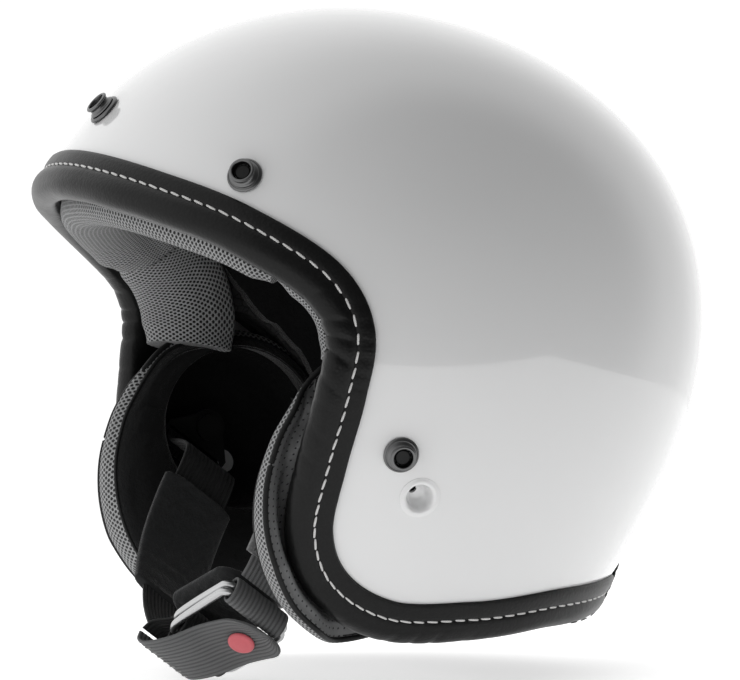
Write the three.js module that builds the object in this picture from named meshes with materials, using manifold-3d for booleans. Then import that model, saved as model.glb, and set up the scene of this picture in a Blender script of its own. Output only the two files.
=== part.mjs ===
// Open-face motorcycle helmet with a leather edge trim, visor snaps, cheek pads and a double D-ring chin strap.
// Millimetres. +Z is up, the face looks along -Y, and the wearer's left is +X. The origin is the centre of the head space.
import * as THREE from "three";
import { ParametricGeometry } from "three/addons/geometries/ParametricGeometry.js";
import { mergeVertices } from "three/addons/utils/BufferGeometryUtils.js";
import Module from "manifold-3d";

const wasm = await Module();
wasm.setup();

// ---------- driving dimensions ----------
const HALF_WIDTH = 116.5; // shell, centre to side
const FRONT = 124; // shell, centre to front
const BACK = 137.6; // shell, centre to back
const CROWN = 115; // shell, centre to top
const NAPE = 162.6; // how far down the lower half would close, which sets how it tucks in
const CHIN_FALL = -0.017; // leans the shell back a little
const SHOULDER = -0.11; // flattens the shell between its axes
const SHELL_THICKNESS = 4.2;
const GAP = 0.3; // clearance between pieces that touch
const POLE_ELEVATION = 40; // degrees above the horizontal, at the back of the head
// Half of the shell's rim, as degrees round the pole from the brow and degrees away from it.
const RIM_HALF = [
  [0, 116.4], [30, 114], [50, 109.6], [68, 106.6], [76, 108.9], [83, 116.4], [92, 126.4], [104, 134.8],
  [115, 136.6], [124, 134.7], [132.5, 128.9], [140, 116.8], [150, 103], [165, 92.5], [180, 89.5],
];

const LINER_INSET = 13; // the foam liner's edge, back from the rim
const LINER_OUT = -5.8;
const LINER_IN = -30;
const PAD_OUT = -31.8; // comfort pads' outer face, from the shell's outer face
const PAD_IN = -38;
const CHEEK_BLOCK = [6.8, 19.6]; // depths of each cheek layer, from the shell's outer face
const CHEEK_PLATE = [20.4, 22.4];
const CHEEK_PAD_OUT = 23.3;
const CHEEK_LIP = 10.2; // depth of the pads' lip, inside the trim
const CHEEK_FACE_X = 76; // cheek pads' inner faces, from the centre plane at the ear
const CHEEK_TAPER = 0.2; // and how fast they close in towards the jaw
const CHEEK_BULGE_X = 88; // cheek pads' outer edges, where they swell past the trim
// How far the cheek pads stand out past the rim, as degrees round the pole and a distance.
const CHEEK_REACH = [[88, 9], [93, 13], [99, 15], [106, 16], [114, 17], [122, 17], [130, 12]];
const EAR = new THREE.Vector3(0, -13, -47);
const EAR_POCKET = 31; // radius of the pocket in each cheek pad

const STRAP_AXIS = new THREE.Vector3(0, -23, -47);
const STRAP_LEAN = Math.atan(0.75); // the buckled strap hangs this far forward
const STRAP_SHIFT = 8.5; // the buckle sits this far behind the strap's own plane
const WEB_WIDTH = 24.5;
const WEB_THICKNESS = 1.6;

// ---------- materials ----------
const paint = (color, roughness, metalness = 0) =>
  new THREE.MeshStandardMaterial({ color, roughness, metalness });
const MATERIALS = {
  whiteGloss: paint(0xe9e9e9, 0.08),
  foam: paint(0x2b2b2d, 0.9),
  leather: paint(0x1c1c1d, 0.45),
  mesh: paint(0x6d6e70, 0.85),
  fleece: paint(0x0b0b0c, 1),
  neckLeather: paint(0x161617, 0.55),
  perforated: paint(0x3a3b3d, 0.55),
  plate: paint(0x202021, 0.5),
  gunmetal: paint(0x55575a, 0.28, 0.9),
  steel: paint(0xc9cacc, 0.22, 1),
  webbing: paint(0x3f4042, 0.8),
  vinyl: paint(0x6a6b6d, 0.6),
  red: paint(0xd05058, 0.4),
};

const helmet = new THREE.Group();
const chinStrap = new THREE.Group();
chinStrap.position.copy(STRAP_AXIS);
chinStrap.rotation.x = -STRAP_LEAN;
helmet.add(chinStrap);

function add(name, geometry, material, parent = helmet) {
  const mesh = new THREE.Mesh(geometry, MATERIALS[material]);
  mesh.name = name;
  parent.add(mesh);
  return mesh;
}

// ---------- the shell's surface ----------
function surfaceRadius(d) {
  const depth = (FRONT + BACK) / 2 + ((BACK - FRONT) / 2) * d.y;
  const height = (CROWN + NAPE) / 2 + ((CROWN - NAPE) / 2) * d.z;
  const ellipsoid = 1 / Math.hypot(d.x / HALF_WIDTH, d.y / depth, d.z / height);
  return ellipsoid * (1 + CHIN_FALL * d.y * d.z + SHOULDER * (d.y * d.z) ** 2);
}

function beyondSurface(p) {
  return p.length() - surfaceRadius(p.clone().normalize());
}

function surfaceNormal(p) {
  const step = 0.01;
  const slope = (axis) => {
    const ahead = p.clone().addScaledVector(axis, step);
    const behind = p.clone().addScaledVector(axis, -step);
    return beyondSurface(ahead) - beyondSurface(behind);
  };
  const [x, y, z] = [[1, 0, 0], [0, 1, 0], [0, 0, 1]].map((a) => slope(new THREE.Vector3(...a)));
  return new THREE.Vector3(x, y, z).normalize();
}

// The point in a direction from the centre, standing off the shell's outer face by an offset.
function onShell(direction, offset = 0) {
  const d = direction.clone().normalize();
  const point = d.clone().multiplyScalar(surfaceRadius(d));
  return offset ? point.addScaledVector(surfaceNormal(point), offset) : point;
}

const poleAngle = THREE.MathUtils.degToRad(POLE_ELEVATION);
const POLE = new THREE.Vector3(0, Math.cos(poleAngle), Math.sin(poleAngle));
const POLE_UP = new THREE.Vector3(0, -Math.sin(poleAngle), Math.cos(poleAngle));

function aboutPole(round, away) {
  const [a, b] = [THREE.MathUtils.degToRad(round), THREE.MathUtils.degToRad(away)];
  return POLE.clone()
    .multiplyScalar(Math.cos(b))
    .addScaledVector(POLE_UP, Math.sin(b) * Math.cos(a))
    .addScaledVector(new THREE.Vector3(1, 0, 0), Math.sin(b) * Math.sin(a));
}

// ---------- the rim: a closed curve that starts at the nape and runs up the wearer's left side ----------
const leftHalf = RIM_HALF.slice().reverse();
const rightHalf = RIM_HALF.slice(1, -1).map(([round, away]) => [-round, away]);
const rimCurve = new THREE.CatmullRomCurve3(
  [...leftHalf, ...rightHalf].map(([round, away]) => onShell(aboutPole(round, away))),
  true,
);
rimCurve.arcLengthDivisions = 800;

function rimFrame(u) {
  const wrapped = u - Math.floor(u);
  const point = onShell(rimCurve.getPointAt(wrapped));
  const tangent = rimCurve.getTangentAt(wrapped);
  const normal = surfaceNormal(point);
  const inward = tangent.clone().cross(normal).normalize();
  return { point, inward };
}

// A point near the rim: inset is measured along the shell away from the opening, and offset along its normal.
function rimPoint(u, inset, offset) {
  const { point, inward } = rimFrame(u);
  return onShell(point.addScaledVector(inward, inset), offset);
}

// Where on the rim curve, from 0 to 0.5, the wearer's left side is so many degrees round the pole.
function rimAt(round) {
  let [low, high] = [0, 0.5];
  for (let i = 0; i < 30; i++) {
    const middle = (low + high) / 2;
    const p = rimCurve.getPointAt(middle);
    const degrees = THREE.MathUtils.radToDeg(Math.atan2(p.x, p.dot(POLE_UP)));
    if (degrees > round) low = middle;
    else high = middle;
  }
  return low;
}

// ---------- closed meshes ----------
// Merges a geometry's shared vertices, drops its collapsed triangles and turns its faces outwards.
function closed(geometry) {
  const bare = new THREE.BufferGeometry();
  bare.setAttribute("position", geometry.getAttribute("position").clone());
  bare.setIndex(geometry.index);
  const merged = mergeVertices(bare, 1e-3);
  const index = merged.index.array;
  const p = merged.attributes.position.array;
  const corner = (i) => new THREE.Vector3(p[3 * i], p[3 * i + 1], p[3 * i + 2]);
  const kept = [];
  let volume = 0;
  for (let i = 0; i < index.length; i += 3) {
    const [a, b, c] = [index[i], index[i + 1], index[i + 2]];
    if (a === b || b === c || c === a) continue;
    kept.push([a, b, c]);
    volume += corner(a).dot(corner(b).cross(corner(c)));
  }
  merged.setIndex((volume < 0 ? kept.map(([a, b, c]) => [a, c, b]) : kept).flat());
  return merged;
}

function moved(geometry, place) {
  const positions = geometry.getAttribute("position");
  const point = new THREE.Vector3();
  for (let i = 0; i < positions.count; i++) {
    point.copy(place(point.fromBufferAttribute(positions, i)));
    positions.setXYZ(i, point.x, point.y, point.z);
  }
  return closed(geometry);
}

function solid(geometry) {
  const g = closed(geometry);
  return new wasm.Manifold(
    new wasm.Mesh({
      numProp: 3,
      vertProperties: g.attributes.position.array,
      triVerts: new Uint32Array(g.index.array),
    }),
  );
}

function meshOf(manifold) {
  const m = manifold.getMesh();
  const g = new THREE.BufferGeometry();
  g.setAttribute("position", new THREE.BufferAttribute(new Float32Array(m.vertProperties), 3));
  return g.setIndex(new THREE.BufferAttribute(new Uint32Array(m.triVerts), 1));
}

const cut = (from, ...tools) =>
  meshOf(tools.reduce((left, tool) => left.subtract(solid(tool)), solid(from)));

// A layer that covers the shell's whole inside or outside, down to a line set back from the rim.
function dome(inset, outer, inner, columns, rows) {
  const stacks = 2 * rows + 1;
  return closed(
    new ParametricGeometry(
      (u, v, target) => {
        const row = Math.round(v * stacks);
        const outside = row <= rows;
        const share = (outside ? row : stacks - row) / rows;
        const edge = rimPoint(u, inset, 0).normalize();
        const angle = POLE.angleTo(edge) * share;
        const across = edge.addScaledVector(POLE, -edge.dot(POLE)).normalize();
        const d = POLE.clone().multiplyScalar(Math.cos(angle)).addScaledVector(across, Math.sin(angle));
        target.copy(onShell(d, outside ? outer : inner));
      },
      columns,
      stacks,
    ),
  );
}

// A section of [inset, offset] corners swept along the rim from one place to another.
function alongRim(section, from, to, steps) {
  const shape = new THREE.Shape(section.map(([x, y]) => new THREE.Vector2(x, y)));
  const blank = new THREE.ExtrudeGeometry(shape, { depth: 1, steps, bevelEnabled: false });
  return moved(blank, (p) => rimPoint(from + (to - from) * p.z, p.x, p.y));
}

// A turned piece that stands on the shell, its profile given as [radius, offset] from the axis and back to it.
function turnedOn(direction, profile, segments = 16) {
  const base = onShell(direction);
  const lathe = new THREE.LatheGeometry(profile.map(([r, h]) => new THREE.Vector2(r, h)), segments);
  const turn = new THREE.Quaternion().setFromUnitVectors(new THREE.Vector3(0, 1, 0), surfaceNormal(base));
  return moved(lathe, (p) => p.applyQuaternion(turn).add(base));
}

const mirrored = (geometry) => moved(geometry.clone(), (p) => p.setX(-p.x));
const SIDES = [["left", (g) => g], ["right", mirrored]];

const RIM_STEPS = 56; // the shell and the trim share these, so that their facets lie together

// ---------- snaps on the shell ----------
const SNAP_PLACES = {
  centre: [0, -96.5, 75.9],
  front_left: [82.2, -72.7, 52.6],
  front_right: [-82.2, -72.7, 52.6],
  side_left: [108.3, -22.9, -47.3],
  side_right: [-108.3, -22.9, -47.3],
};
const RIVET_HOLE = 2.5;
const snapBase = [[RIVET_HOLE, GAP], [6.5, GAP], [6.5, 0.9], [5.9, 1.4], [RIVET_HOLE, 1.4], [RIVET_HOLE, GAP]];
const snapStud = [
  [RIVET_HOLE, 1.7], [5.3, 1.7], [4.1, 2.6], [4.1, 3.5], [4.7, 4.4], [4.3, 5.1], [3.6, 5.1], [3.4, 2.6],
  [RIVET_HOLE, 2.6], [RIVET_HOLE, 1.7],
];
const snapRivet = [[0, -6.8], [4.2, -6.8], [4.2, -5.7], [2.1, -5.5], [2.1, 2.9], [3.1, 2.9], [2.5, 3.5], [0, 3.6]];
const rivetHole = [[0, -9], [2.4, -9], [2.4, 9], [0, 9]];

// The goggle strap's stud stands on the shell at the back.
const TAB_STUD = rimPoint(0, 42, 0);

// ---------- shell, with its vent dimples ----------
const DIMPLE = new THREE.Vector3(104.9, -14.1, -63.2);
const dimpleBoss = [[0, -8.2], [4.6, -8.2], [7.2, -6], [7.8, -3.2], [0, -3.2]];
const dimpleBowl = [[0, -5.6], [2.4, -5.2], [4, -3.6], [4.6, -1.4], [5.6, -0.2], [7, 0.4], [7, 4], [0, 4]];
const ventHole = [[0, -12], [1.5, -12], [1.5, -3], [0, -3]];
const VENT_SHIFT = new THREE.Vector3(0, -1.6, 1.4);

function makeShell() {
  let shell = solid(dome(0, 0, -SHELL_THICKNESS, RIM_STEPS, 9));
  for (const [, side] of SIDES) {
    shell = shell
      .add(solid(side(turnedOn(DIMPLE, dimpleBoss))))
      .subtract(solid(side(turnedOn(DIMPLE, dimpleBowl))))
      .subtract(solid(side(turnedOn(DIMPLE.clone().add(VENT_SHIFT), ventHole, 12))));
  }
  for (const place of [...Object.values(SNAP_PLACES), TAB_STUD.toArray()])
    shell = shell.subtract(solid(turnedOn(new THREE.Vector3(...place), rivetHole, 12)));
  return meshOf(shell);
}
add("shell", makeShell(), "whiteGloss");

for (const [name, place] of Object.entries(SNAP_PLACES)) {
  const direction = new THREE.Vector3(...place);
  add(`snap_base_${name}`, turnedOn(direction, snapBase), "gunmetal");
  add(`snap_stud_${name}`, turnedOn(direction, snapStud), "gunmetal");
  add(`snap_rivet_${name}`, turnedOn(direction, snapRivet, 12), "steel");
}

// ---------- edge trim: a leather-covered channel over the rim, butted at the nape ----------
const TRIM_SECTION = [
  [12.5, 0.5], [12.5, 1.6], [11, 2.6], [4, 3.2], [-1.8, 3], [-4.6, 0.9], [-5.4, -2.8], [-4.4, -6.6], [-1, -8],
  [8, -7.9], [8, -6.4], [-1.5, -6.4], [-1.5, 0.5],
];
const BUTT = 0.0004; // half of the butt joint, as a share of the rim's length
add("edge_trim", alongRim(TRIM_SECTION, BUTT, 1 - BUTT, RIM_STEPS), "leather");

// ---------- cheek bays: rings round the ear, flat to the side of the head ----------
// The shell's outer face above a place in side view, found by walking along X.
function sideX(y, z) {
  let [low, high] = [0, 2 * HALF_WIDTH];
  for (let i = 0; i < 30; i++) {
    const x = (low + high) / 2;
    if (beyondSurface(new THREE.Vector3(x, y, z)) < 0) low = x;
    else high = x;
  }
  return low;
}

const inSideView = (p) => new THREE.Vector3(0, p.y, p.z);
const cheekFront = CHEEK_REACH.map(([round, reach]) => inSideView(rimPoint(rimAt(round), -reach, 0)));
const cheekBack = [[32, -92], [33, -66], [18, -36], [-6, -14], [-40, -14]].map(([y, z]) => new THREE.Vector3(0, y, z));
const cheekOutline = new THREE.CatmullRomCurve3([...cheekFront, ...cheekBack], true);
const FRONT_SHARE = (cheekFront.length - 1) / (cheekFront.length + cheekBack.length);

const smooth = THREE.MathUtils.smoothstep;
// 1 where the outline follows the rim, and 0 along the bay's top and back.
const overRim = (u) => (u <= FRONT_SHARE ? 1 : 1 - smooth(u, FRONT_SHARE, FRONT_SHARE + 0.06) + smooth(u, 0.94, 1));

// A layer of the bay. Each corner of its section gives a share of the way out from the ear, an inset, and its x.
function cheekDisc(section, columns) {
  const last = section.length - 1;
  return closed(
    new ParametricGeometry(
      (u, v, target) => {
        const [share, inset, x] = section[Math.round(v * last)](overRim(u % 1));
        const out = cheekOutline.getPoint(u % 1).sub(EAR).setX(0);
        const { y, z } = out.setLength((out.length() - inset) * share).add(EAR);
        target.set(x(y, z), y, z);
      },
      columns,
      last,
    ),
  );
}

const face = (rise) => (y, z) => CHEEK_FACE_X + CHEEK_TAPER * (z - EAR.z) + rise;
const RIM_CLEARANCE = 27.5; // from the outline to the foam block, clear of the trim

// An x so deep under the shell's outer face, but never nearer than some room to the pad's inner face.
function depth(d, room) {
  return (y, z) => {
    const x = sideX(y, z);
    const slope = surfaceNormal(new THREE.Vector3(x, y, z)).x;
    return Math.max(x - d / slope, face(room)(y, z));
  };
}

const earTool = new THREE.CylinderGeometry(EAR_POCKET, EAR_POCKET, 4 * HALF_WIDTH, 32);
earTool.rotateZ(Math.PI / 2).translate(0, EAR.y, EAR.z);

function withPocket(geometry) {
  const parts = solid(geometry).subtract(solid(earTool)).decompose();
  return meshOf(parts.reduce((a, b) => (a.volume() > b.volume() ? a : b)));
}

function slab([outer, inner], [outerRoom, innerRoom]) {
  return withPocket(
    cheekDisc(
      [
        () => [0, 0, depth(outer, outerRoom)],
        (rim) => [0.6, 2 + RIM_CLEARANCE * rim, depth(outer, outerRoom)],
        (rim) => [1, 2 + RIM_CLEARANCE * rim, depth(outer, outerRoom)],
        (rim) => [1, 2 + RIM_CLEARANCE * rim, depth(inner, innerRoom)],
        (rim) => [0.6, 2 + RIM_CLEARANCE * rim, depth(inner, innerRoom)],
        () => [0, 0, depth(inner, innerRoom)],
      ],
      36,
    ),
  );
}

const LIP_ROOM = 2.5; // least thickness of the pads' lip, under the trim
const lip = (rim) => depth(THREE.MathUtils.lerp(CHEEK_PAD_OUT, CHEEK_LIP, rim), LIP_ROOM);

// Past the trim's front edge, the pad swells out to its outer edge.
function bulge(rim, rise) {
  return (y, z) => {
    const edge = CHEEK_BULGE_X + rise - 0.3 * Math.max(0, -88 - z);
    return THREE.MathUtils.lerp(lip(rim)(y, z), edge, rim * smooth(-y, 28, 46));
  };
}

const padSection = [
  () => [0, 0, depth(CHEEK_PAD_OUT, 3.2)],
  (rim) => [0.6, 1.6 + 26.9 * rim, depth(CHEEK_PAD_OUT, 3.2)],
  (rim) => [1, 1.6 + 26.9 * rim, depth(CHEEK_PAD_OUT, 3.2)],
  (rim) => [1, 1.2 + 27 * rim, lip(rim)],
  (rim) => [1, 0.9 + 9.4 * rim, lip(rim)],
  (rim) => [1, 0.7 + 4 * rim, bulge(rim, -2)],
  (rim) => [1, 0.5 + 0.6 * rim, bulge(rim, 0)],
  () => [1, 0, face(6)],
  () => [1, 1.6, face(2.4)],
  () => [1, 6, face(0)],
  () => [0.6, 0, face(0)],
  () => [0, 0, face(0)],
];

for (const [side, flip] of SIDES) {
  add(`cheek_block_${side}`, flip(slab(CHEEK_BLOCK, [11.5, 7])), "foam");
  add(`cheek_plate_${side}`, flip(slab(CHEEK_PLATE, [6.2, 4.2])), "plate");
  add(`cheek_pad_${side}`, flip(withPocket(cheekDisc(padSection, 36))), "perforated");
}

// ---------- foam liner and comfort pads ----------
// The cheek bay as one block, to cut the liner and the comfort pads clear of the cheek pads.
function cheekBay(grow) {
  const corners = [[0, 140], [1, 140], [1, 50], [0, 50]];
  return cheekDisc(corners.map(([share, x]) => () => [share, -grow, () => x]), 36);
}

const LINER_CLEARANCE = [[0, -8], [5, -8], [5, 0], [0, 0]];

function makeLiner() {
  const whole = dome(LINER_INSET, LINER_OUT, LINER_IN, 36, 7);
  const rivets = Object.values(SNAP_PLACES).map((place) =>
    turnedOn(new THREE.Vector3(...place), LINER_CLEARANCE, 12),
  );
  const bay = cheekBay(0.6);
  return cut(whole, bay, mirrored(bay), ...rivets, turnedOn(TAB_STUD, LINER_CLEARANCE, 12));
}
add("foam_liner", makeLiner(), "foam");

function makeCrownPad() {
  const whole = dome(28, PAD_OUT, PAD_IN, 30, 6);
  const bay = cheekBay(2);
  return cut(whole, bay, mirrored(bay));
}
add("crown_pad", makeCrownPad(), "fleece");

// Each edge pad wraps the liner's edge, from its outer face round to the crown pad. It is cut clear of the liner
// and the cheek bays where the rim turns sharply.
const linerEnvelope = dome(LINER_INSET - 0.6, 10, LINER_IN - 1.8, 36, 7);
const crownEnvelope = dome(27.4, 10, PAD_IN - 4, 30, 6);
const bayEnvelope = cheekBay(1);

function edgePad(section, from, to, steps) {
  const whole = alongRim(section, from, to, steps);
  const parts = solid(cut(whole, linerEnvelope, crownEnvelope, bayEnvelope, mirrored(bayEnvelope))).decompose();
  return meshOf(parts.reduce((a, b) => (a.volume() > b.volume() ? a : b)));
}

const WRAP_SECTION = [
  [11.4, -8.6], [0, -8.6], [-2.6, -11], [-3.4, -17], [-2.2, -25], [1.5, -32], [8, -37], [16, -39], [26, -39],
  [26, PAD_OUT], [11.4, PAD_OUT],
];
const [browEnd, templeEnd, neckEnd] = [58, 80.5, 136].map(rimAt);
const JOIN = 0.0008; // gap between neighbouring edge pads, as a share of the rim's length
add("brow_pad", edgePad(WRAP_SECTION, browEnd + JOIN, 1 - browEnd - JOIN, 20), "mesh");

// A temple pad hangs from each end of the brow pad.
const TEMPLE_SECTION = [
  [11.4, -9], [3, -9], [0.6, -13], [0.2, -20], [1.4, -28], [5, -35], [10, -38.6], [26, -39], [26, PAD_OUT],
  [11.4, PAD_OUT],
];
const templePad = edgePad(TEMPLE_SECTION, templeEnd, browEnd - JOIN, 8);
for (const [side, flip] of SIDES) add(`temple_pad_${side}`, flip(templePad), "mesh");

// The neck roll covers the liner's edge at the back, over the goggle tab's root.
const NECK_SECTION = [
  [11.4, -13.5], [2, -13.5], [-2.4, -15], [-4, -20], [-3, -27], [2, -34], [10, -38.4], [20, -39.2], [26, -38.8],
  [26, PAD_OUT], [11.4, PAD_OUT],
];
add("neck_roll", edgePad(NECK_SECTION, -neckEnd, neckEnd, 22), "neckLeather");

// ---------- goggle strap tab at the nape ----------
const TAB_WIDTH = 28;

// A strip across the nape, along a path of [inset, offset] points, with its middle on the centre plane.
function strip(points, width, thickness, steps, columns) {
  const path = new THREE.SplineCurve(points.map(([x, y]) => new THREE.Vector2(x, y)));
  const blank = new THREE.BoxGeometry(1, 1, 1, steps, 1, columns);
  return moved(blank, (p) => {
    const at = path.getPointAt(p.x + 0.5);
    const t = path.getTangentAt(p.x + 0.5);
    const rise = p.y * thickness;
    const base = rimPoint(0, at.x - t.y * rise, 0).setX(p.z * width);
    return onShell(base, at.y + t.x * rise);
  });
}

const TAB_THICKNESS = 2.4;
const TAB_HOOK = [[10, -10.2], [2, -10.4], [-6, -11.4], [-12.6, -10.6], [-15, -8.2]];
const TAB_FLAP = [[-15.3, -6.4], [-14, -2.6], [-9.4, 2], [-3.4, 5.2], [5, 5.3], [12, 4], [20, 2.4], [34, 2], [50, 2]];
add("goggle_tab_hook", strip(TAB_HOOK, TAB_WIDTH, 2.2, 10, 2), "neckLeather");

function flapWithHole() {
  const flap = strip(TAB_FLAP, TAB_WIDTH, TAB_THICKNESS, 18, 2);
  return cut(flap, turnedOn(TAB_STUD, [[0, -2], [2.6, -2], [2.6, 9], [0, 9]], 16));
}
add("goggle_tab_flap", flapWithHole(), "leather");
const tabRivetProfile = [[0, -6.4], [4.2, -6.4], [4.2, -5.3], [2.1, -5.1], [2.1, 1], [0, 1]];
const tabCapProfile = [[0, 4.8], [6, 4.8], [6.2, 5.4], [5, 6.6], [2.5, 7.2], [0, 7.3]];
add("goggle_tab_rivet", turnedOn(TAB_STUD, tabRivetProfile, 16), "steel");
add("goggle_tab_snap_cap", turnedOn(TAB_STUD, tabCapProfile), "gunmetal");

// ---------- chin strap, in its own frame: x across, y along the webbing's width, z up the strap ----------
// Points are [x, drop, shift]: the drop is measured down from the strap's axis, and the shift rearwards.
function ribbon(points, width, thickness, steps, from = 0, to = 1) {
  const path = new THREE.CatmullRomCurve3(points.map(([x, drop, shift]) => new THREE.Vector3(x, shift, -drop)));
  path.arcLengthDivisions = 600;
  const blank = new THREE.BoxGeometry(1, 1, 1, steps, 1, 1);
  return moved(blank, (p) => {
    const at = from + (to - from) * (p.x + 0.5);
    const t = path.getTangentAt(at).setY(0).normalize();
    return path.getPointAt(at).add(new THREE.Vector3(-t.z * p.y * thickness, p.z * width, t.x * p.y * thickness));
  });
}

// Anchors: a post on each side that the strap's hanger swings on.
const POST = 2.9;
const [HANGER_IN, HANGER_OUT] = [87.6, 89.4];
const anchorProfile = [
  [0, HANGER_IN - 2.4], [5, HANGER_IN - 2.4], [5, HANGER_IN - 0.4], [POST, HANGER_IN - 0.4],
  [POST, HANGER_OUT + 1.4], [6, HANGER_OUT + 1.6], [6, HANGER_OUT + 4], [3.6, HANGER_OUT + 5], [3.6, 99], [0, 99],
];
const alongX = (p) => new THREE.Vector3(p.y, p.x, p.z);
const anchorLathe = new THREE.LatheGeometry(anchorProfile.map((p) => new THREE.Vector2(...p)), 16);
const anchorPost = moved(anchorLathe, (p) => alongX(p).add(STRAP_AXIS));
for (const [side, flip] of SIDES) add(`strap_anchor_${side}`, flip(anchorPost), "steel");

// Hangers: a steel plate with an eye for the post and a slot for the webbing.
function hangerPlate() {
  const plate = new THREE.Shape();
  plate.absarc(0, 0, 7, Math.PI * 0.06, Math.PI * 0.94, false);
  plate.lineTo(-14.2, -6.6);
  plate.lineTo(-14.2, -12.6);
  plate.lineTo(-12.4, -14.6);
  plate.lineTo(12.4, -14.6);
  plate.lineTo(14.2, -12.6);
  plate.lineTo(14.2, -6.6);
  plate.holes.push(new THREE.Path().absarc(0, 0, POST + 0.4, 0, 2 * Math.PI, true));
  const slot = new THREE.Path();
  slot.moveTo(-12.8, -7.8);
  slot.lineTo(12.8, -7.8);
  slot.lineTo(12.8, -11.4);
  slot.lineTo(-12.8, -11.4);
  plate.holes.push(slot);
  const thickness = HANGER_OUT - HANGER_IN;
  const blank = new THREE.ExtrudeGeometry(plate, { depth: thickness, bevelEnabled: false, curveSegments: 8 });
  return moved(blank, (p) => new THREE.Vector3(HANGER_IN + p.z, p.x, p.y));
}
for (const [side, flip] of SIDES) add(`strap_hanger_${side}`, flip(hangerPlate()), "steel", chinStrap);

// D-rings: two wire rings whose straight bars lie in the left strap's end loop.
const BAR = [51, 67];
const RING_END = [23.5, 85.8];
const RING_LENGTH = Math.hypot(RING_END[0] - BAR[0], RING_END[1] - BAR[1]);
const ALONG = [(RING_END[0] - BAR[0]) / RING_LENGTH, (RING_END[1] - BAR[1]) / RING_LENGTH];
const OUTWARD = [ALONG[1], -ALONG[0]]; // from the chin side of the rings to the outer side
const RING_HALF = 14.4; // half of a ring's width, to the wire's centre
const WIRE = 1.5;
const RING_SPREAD = [1.8, 2.7]; // each ring's plane from the middle of the pair, at its bar and at its end

// A strap point from how far it is beyond the rings' ends, and how far outward of the middle of the pair.
const byRings = (beyond, outward, shift = STRAP_SHIFT) => [
  RING_END[0] + ALONG[0] * beyond + OUTWARD[0] * outward,
  RING_END[1] + ALONG[1] * beyond + OUTWARD[1] * outward,
  shift,
];

function dRing(sign) {
  const corners = [
    [0, 0], [0, 10], [0.5, 12.8], [2.2, RING_HALF - 0.2], [5, RING_HALF], [RING_LENGTH - 7, RING_HALF],
    [RING_LENGTH - 2.4, RING_HALF - 0.6], [RING_LENGTH - 0.2, 12.2], [RING_LENGTH, 9],
  ];
  const back = corners.slice(1).reverse().map(([a, b]) => [a, -b]);
  const place = ([along, across]) => {
    const spread = THREE.MathUtils.lerp(...RING_SPREAD, along / RING_LENGTH);
    const [x, drop] = byRings(along - RING_LENGTH, sign * spread);
    return new THREE.Vector3(x, STRAP_SHIFT + across, -drop);
  };
  const loop = new THREE.CatmullRomCurve3([...corners, [RING_LENGTH, 0], ...back].map(place), true);
  const up = new THREE.Vector3(OUTWARD[0], 0, -OUTWARD[1]);
  return closed(
    new ParametricGeometry(
      (u, v, target) => {
        const side = loop.getTangentAt(u % 1).cross(up).normalize();
        const a = 2 * Math.PI * v;
        target.copy(loop.getPointAt(u % 1));
        target.addScaledVector(side, WIRE * Math.cos(a)).addScaledVector(up, WIRE * Math.sin(a));
      },
      32,
      6,
    ),
  );
}
add("d_ring_inner", dRing(-1), "steel", chinStrap);
add("d_ring_outer", dRing(1), "steel", chinStrap);

// The webbing loops round the hanger's lower bar, goes in through the ear pocket and down over the cheek pad.
const HANGER_LOOP = [
  [91.2, 16.5, 0], [91.1, 12.2, 0], [88.5, 9.4, 0], [85.8, 12.2, 0], [81, 13.6, 0], [68, 13.6, 0], [60, 15.4, 0],
];
const LEFT_PATH = [...HANGER_LOOP, [56, 22, 0.5], [54.4, 34, 2.6], [53.4, 46, 5.4], [52.8, 56, 7.6], [51.4, 60.6, STRAP_SHIFT]];
add("strap_left", ribbon(LEFT_PATH, WEB_WIDTH, WEB_THICKNESS, 36), "webbing", chinStrap);

// The strap's end loop round both bars, sewn to the end of the left webbing.
function endLoop() {
  const [x, drop] = BAR;
  const tilt = Math.atan2(OUTWARD[0], -OUTWARD[1]);
  const outer = new THREE.Shape().absellipse(0, 0, 4.1, 6.1, 0, 2 * Math.PI, false);
  outer.holes.push(new THREE.Path().absellipse(0, 0, 2.6, 4.6, 0, 2 * Math.PI, true));
  const blank = new THREE.ExtrudeGeometry(outer, { depth: WEB_WIDTH, bevelEnabled: false, curveSegments: 12 });
  const turn = new THREE.Euler(0, tilt, 0);
  return moved(blank, (p) => {
    const across = STRAP_SHIFT + WEB_WIDTH / 2 - p.z;
    return new THREE.Vector3(p.x, 0, p.y).applyEuler(turn).add(new THREE.Vector3(x, across, -drop));
  });
}
add("strap_end_loop", endLoop(), "webbing", chinStrap);

// The right webbing goes through both rings, back over the outer one, between them and out along itself.
const RIGHT_PATH = [
  ...HANGER_LOOP.map(([x, drop, shift]) => [-x, drop, shift]),
  [-56, 22, 0.5], [-52, 36, 1.6], [-44, 54, 3.6], [-29, 71, 5.6], [-12, 83.2, 7.4], byRings(16, -7.4),
  byRings(3, -7.9), byRings(-4, -7.2), byRings(-7.2, -3.4), byRings(-7, 2), byRings(-4.4, 5.6),
  byRings(-0.4, 6.5), byRings(2.8, 5), byRings(3, 1.9), byRings(0.8, 0.15), byRings(-2, -0.25), byRings(-3.8, -2.6),
  byRings(-2.6, -4.8), byRings(0.6, -5.5), byRings(3, -5.5, 8), byRings(6.6, -5.2, 6.2), byRings(11, -4.3, 3.4), byRings(14, -1.7, 2.6),
];
add("strap_right", ribbon(RIGHT_PATH, WEB_WIDTH, WEB_THICKNESS, 96), "webbing", chinStrap);

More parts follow.
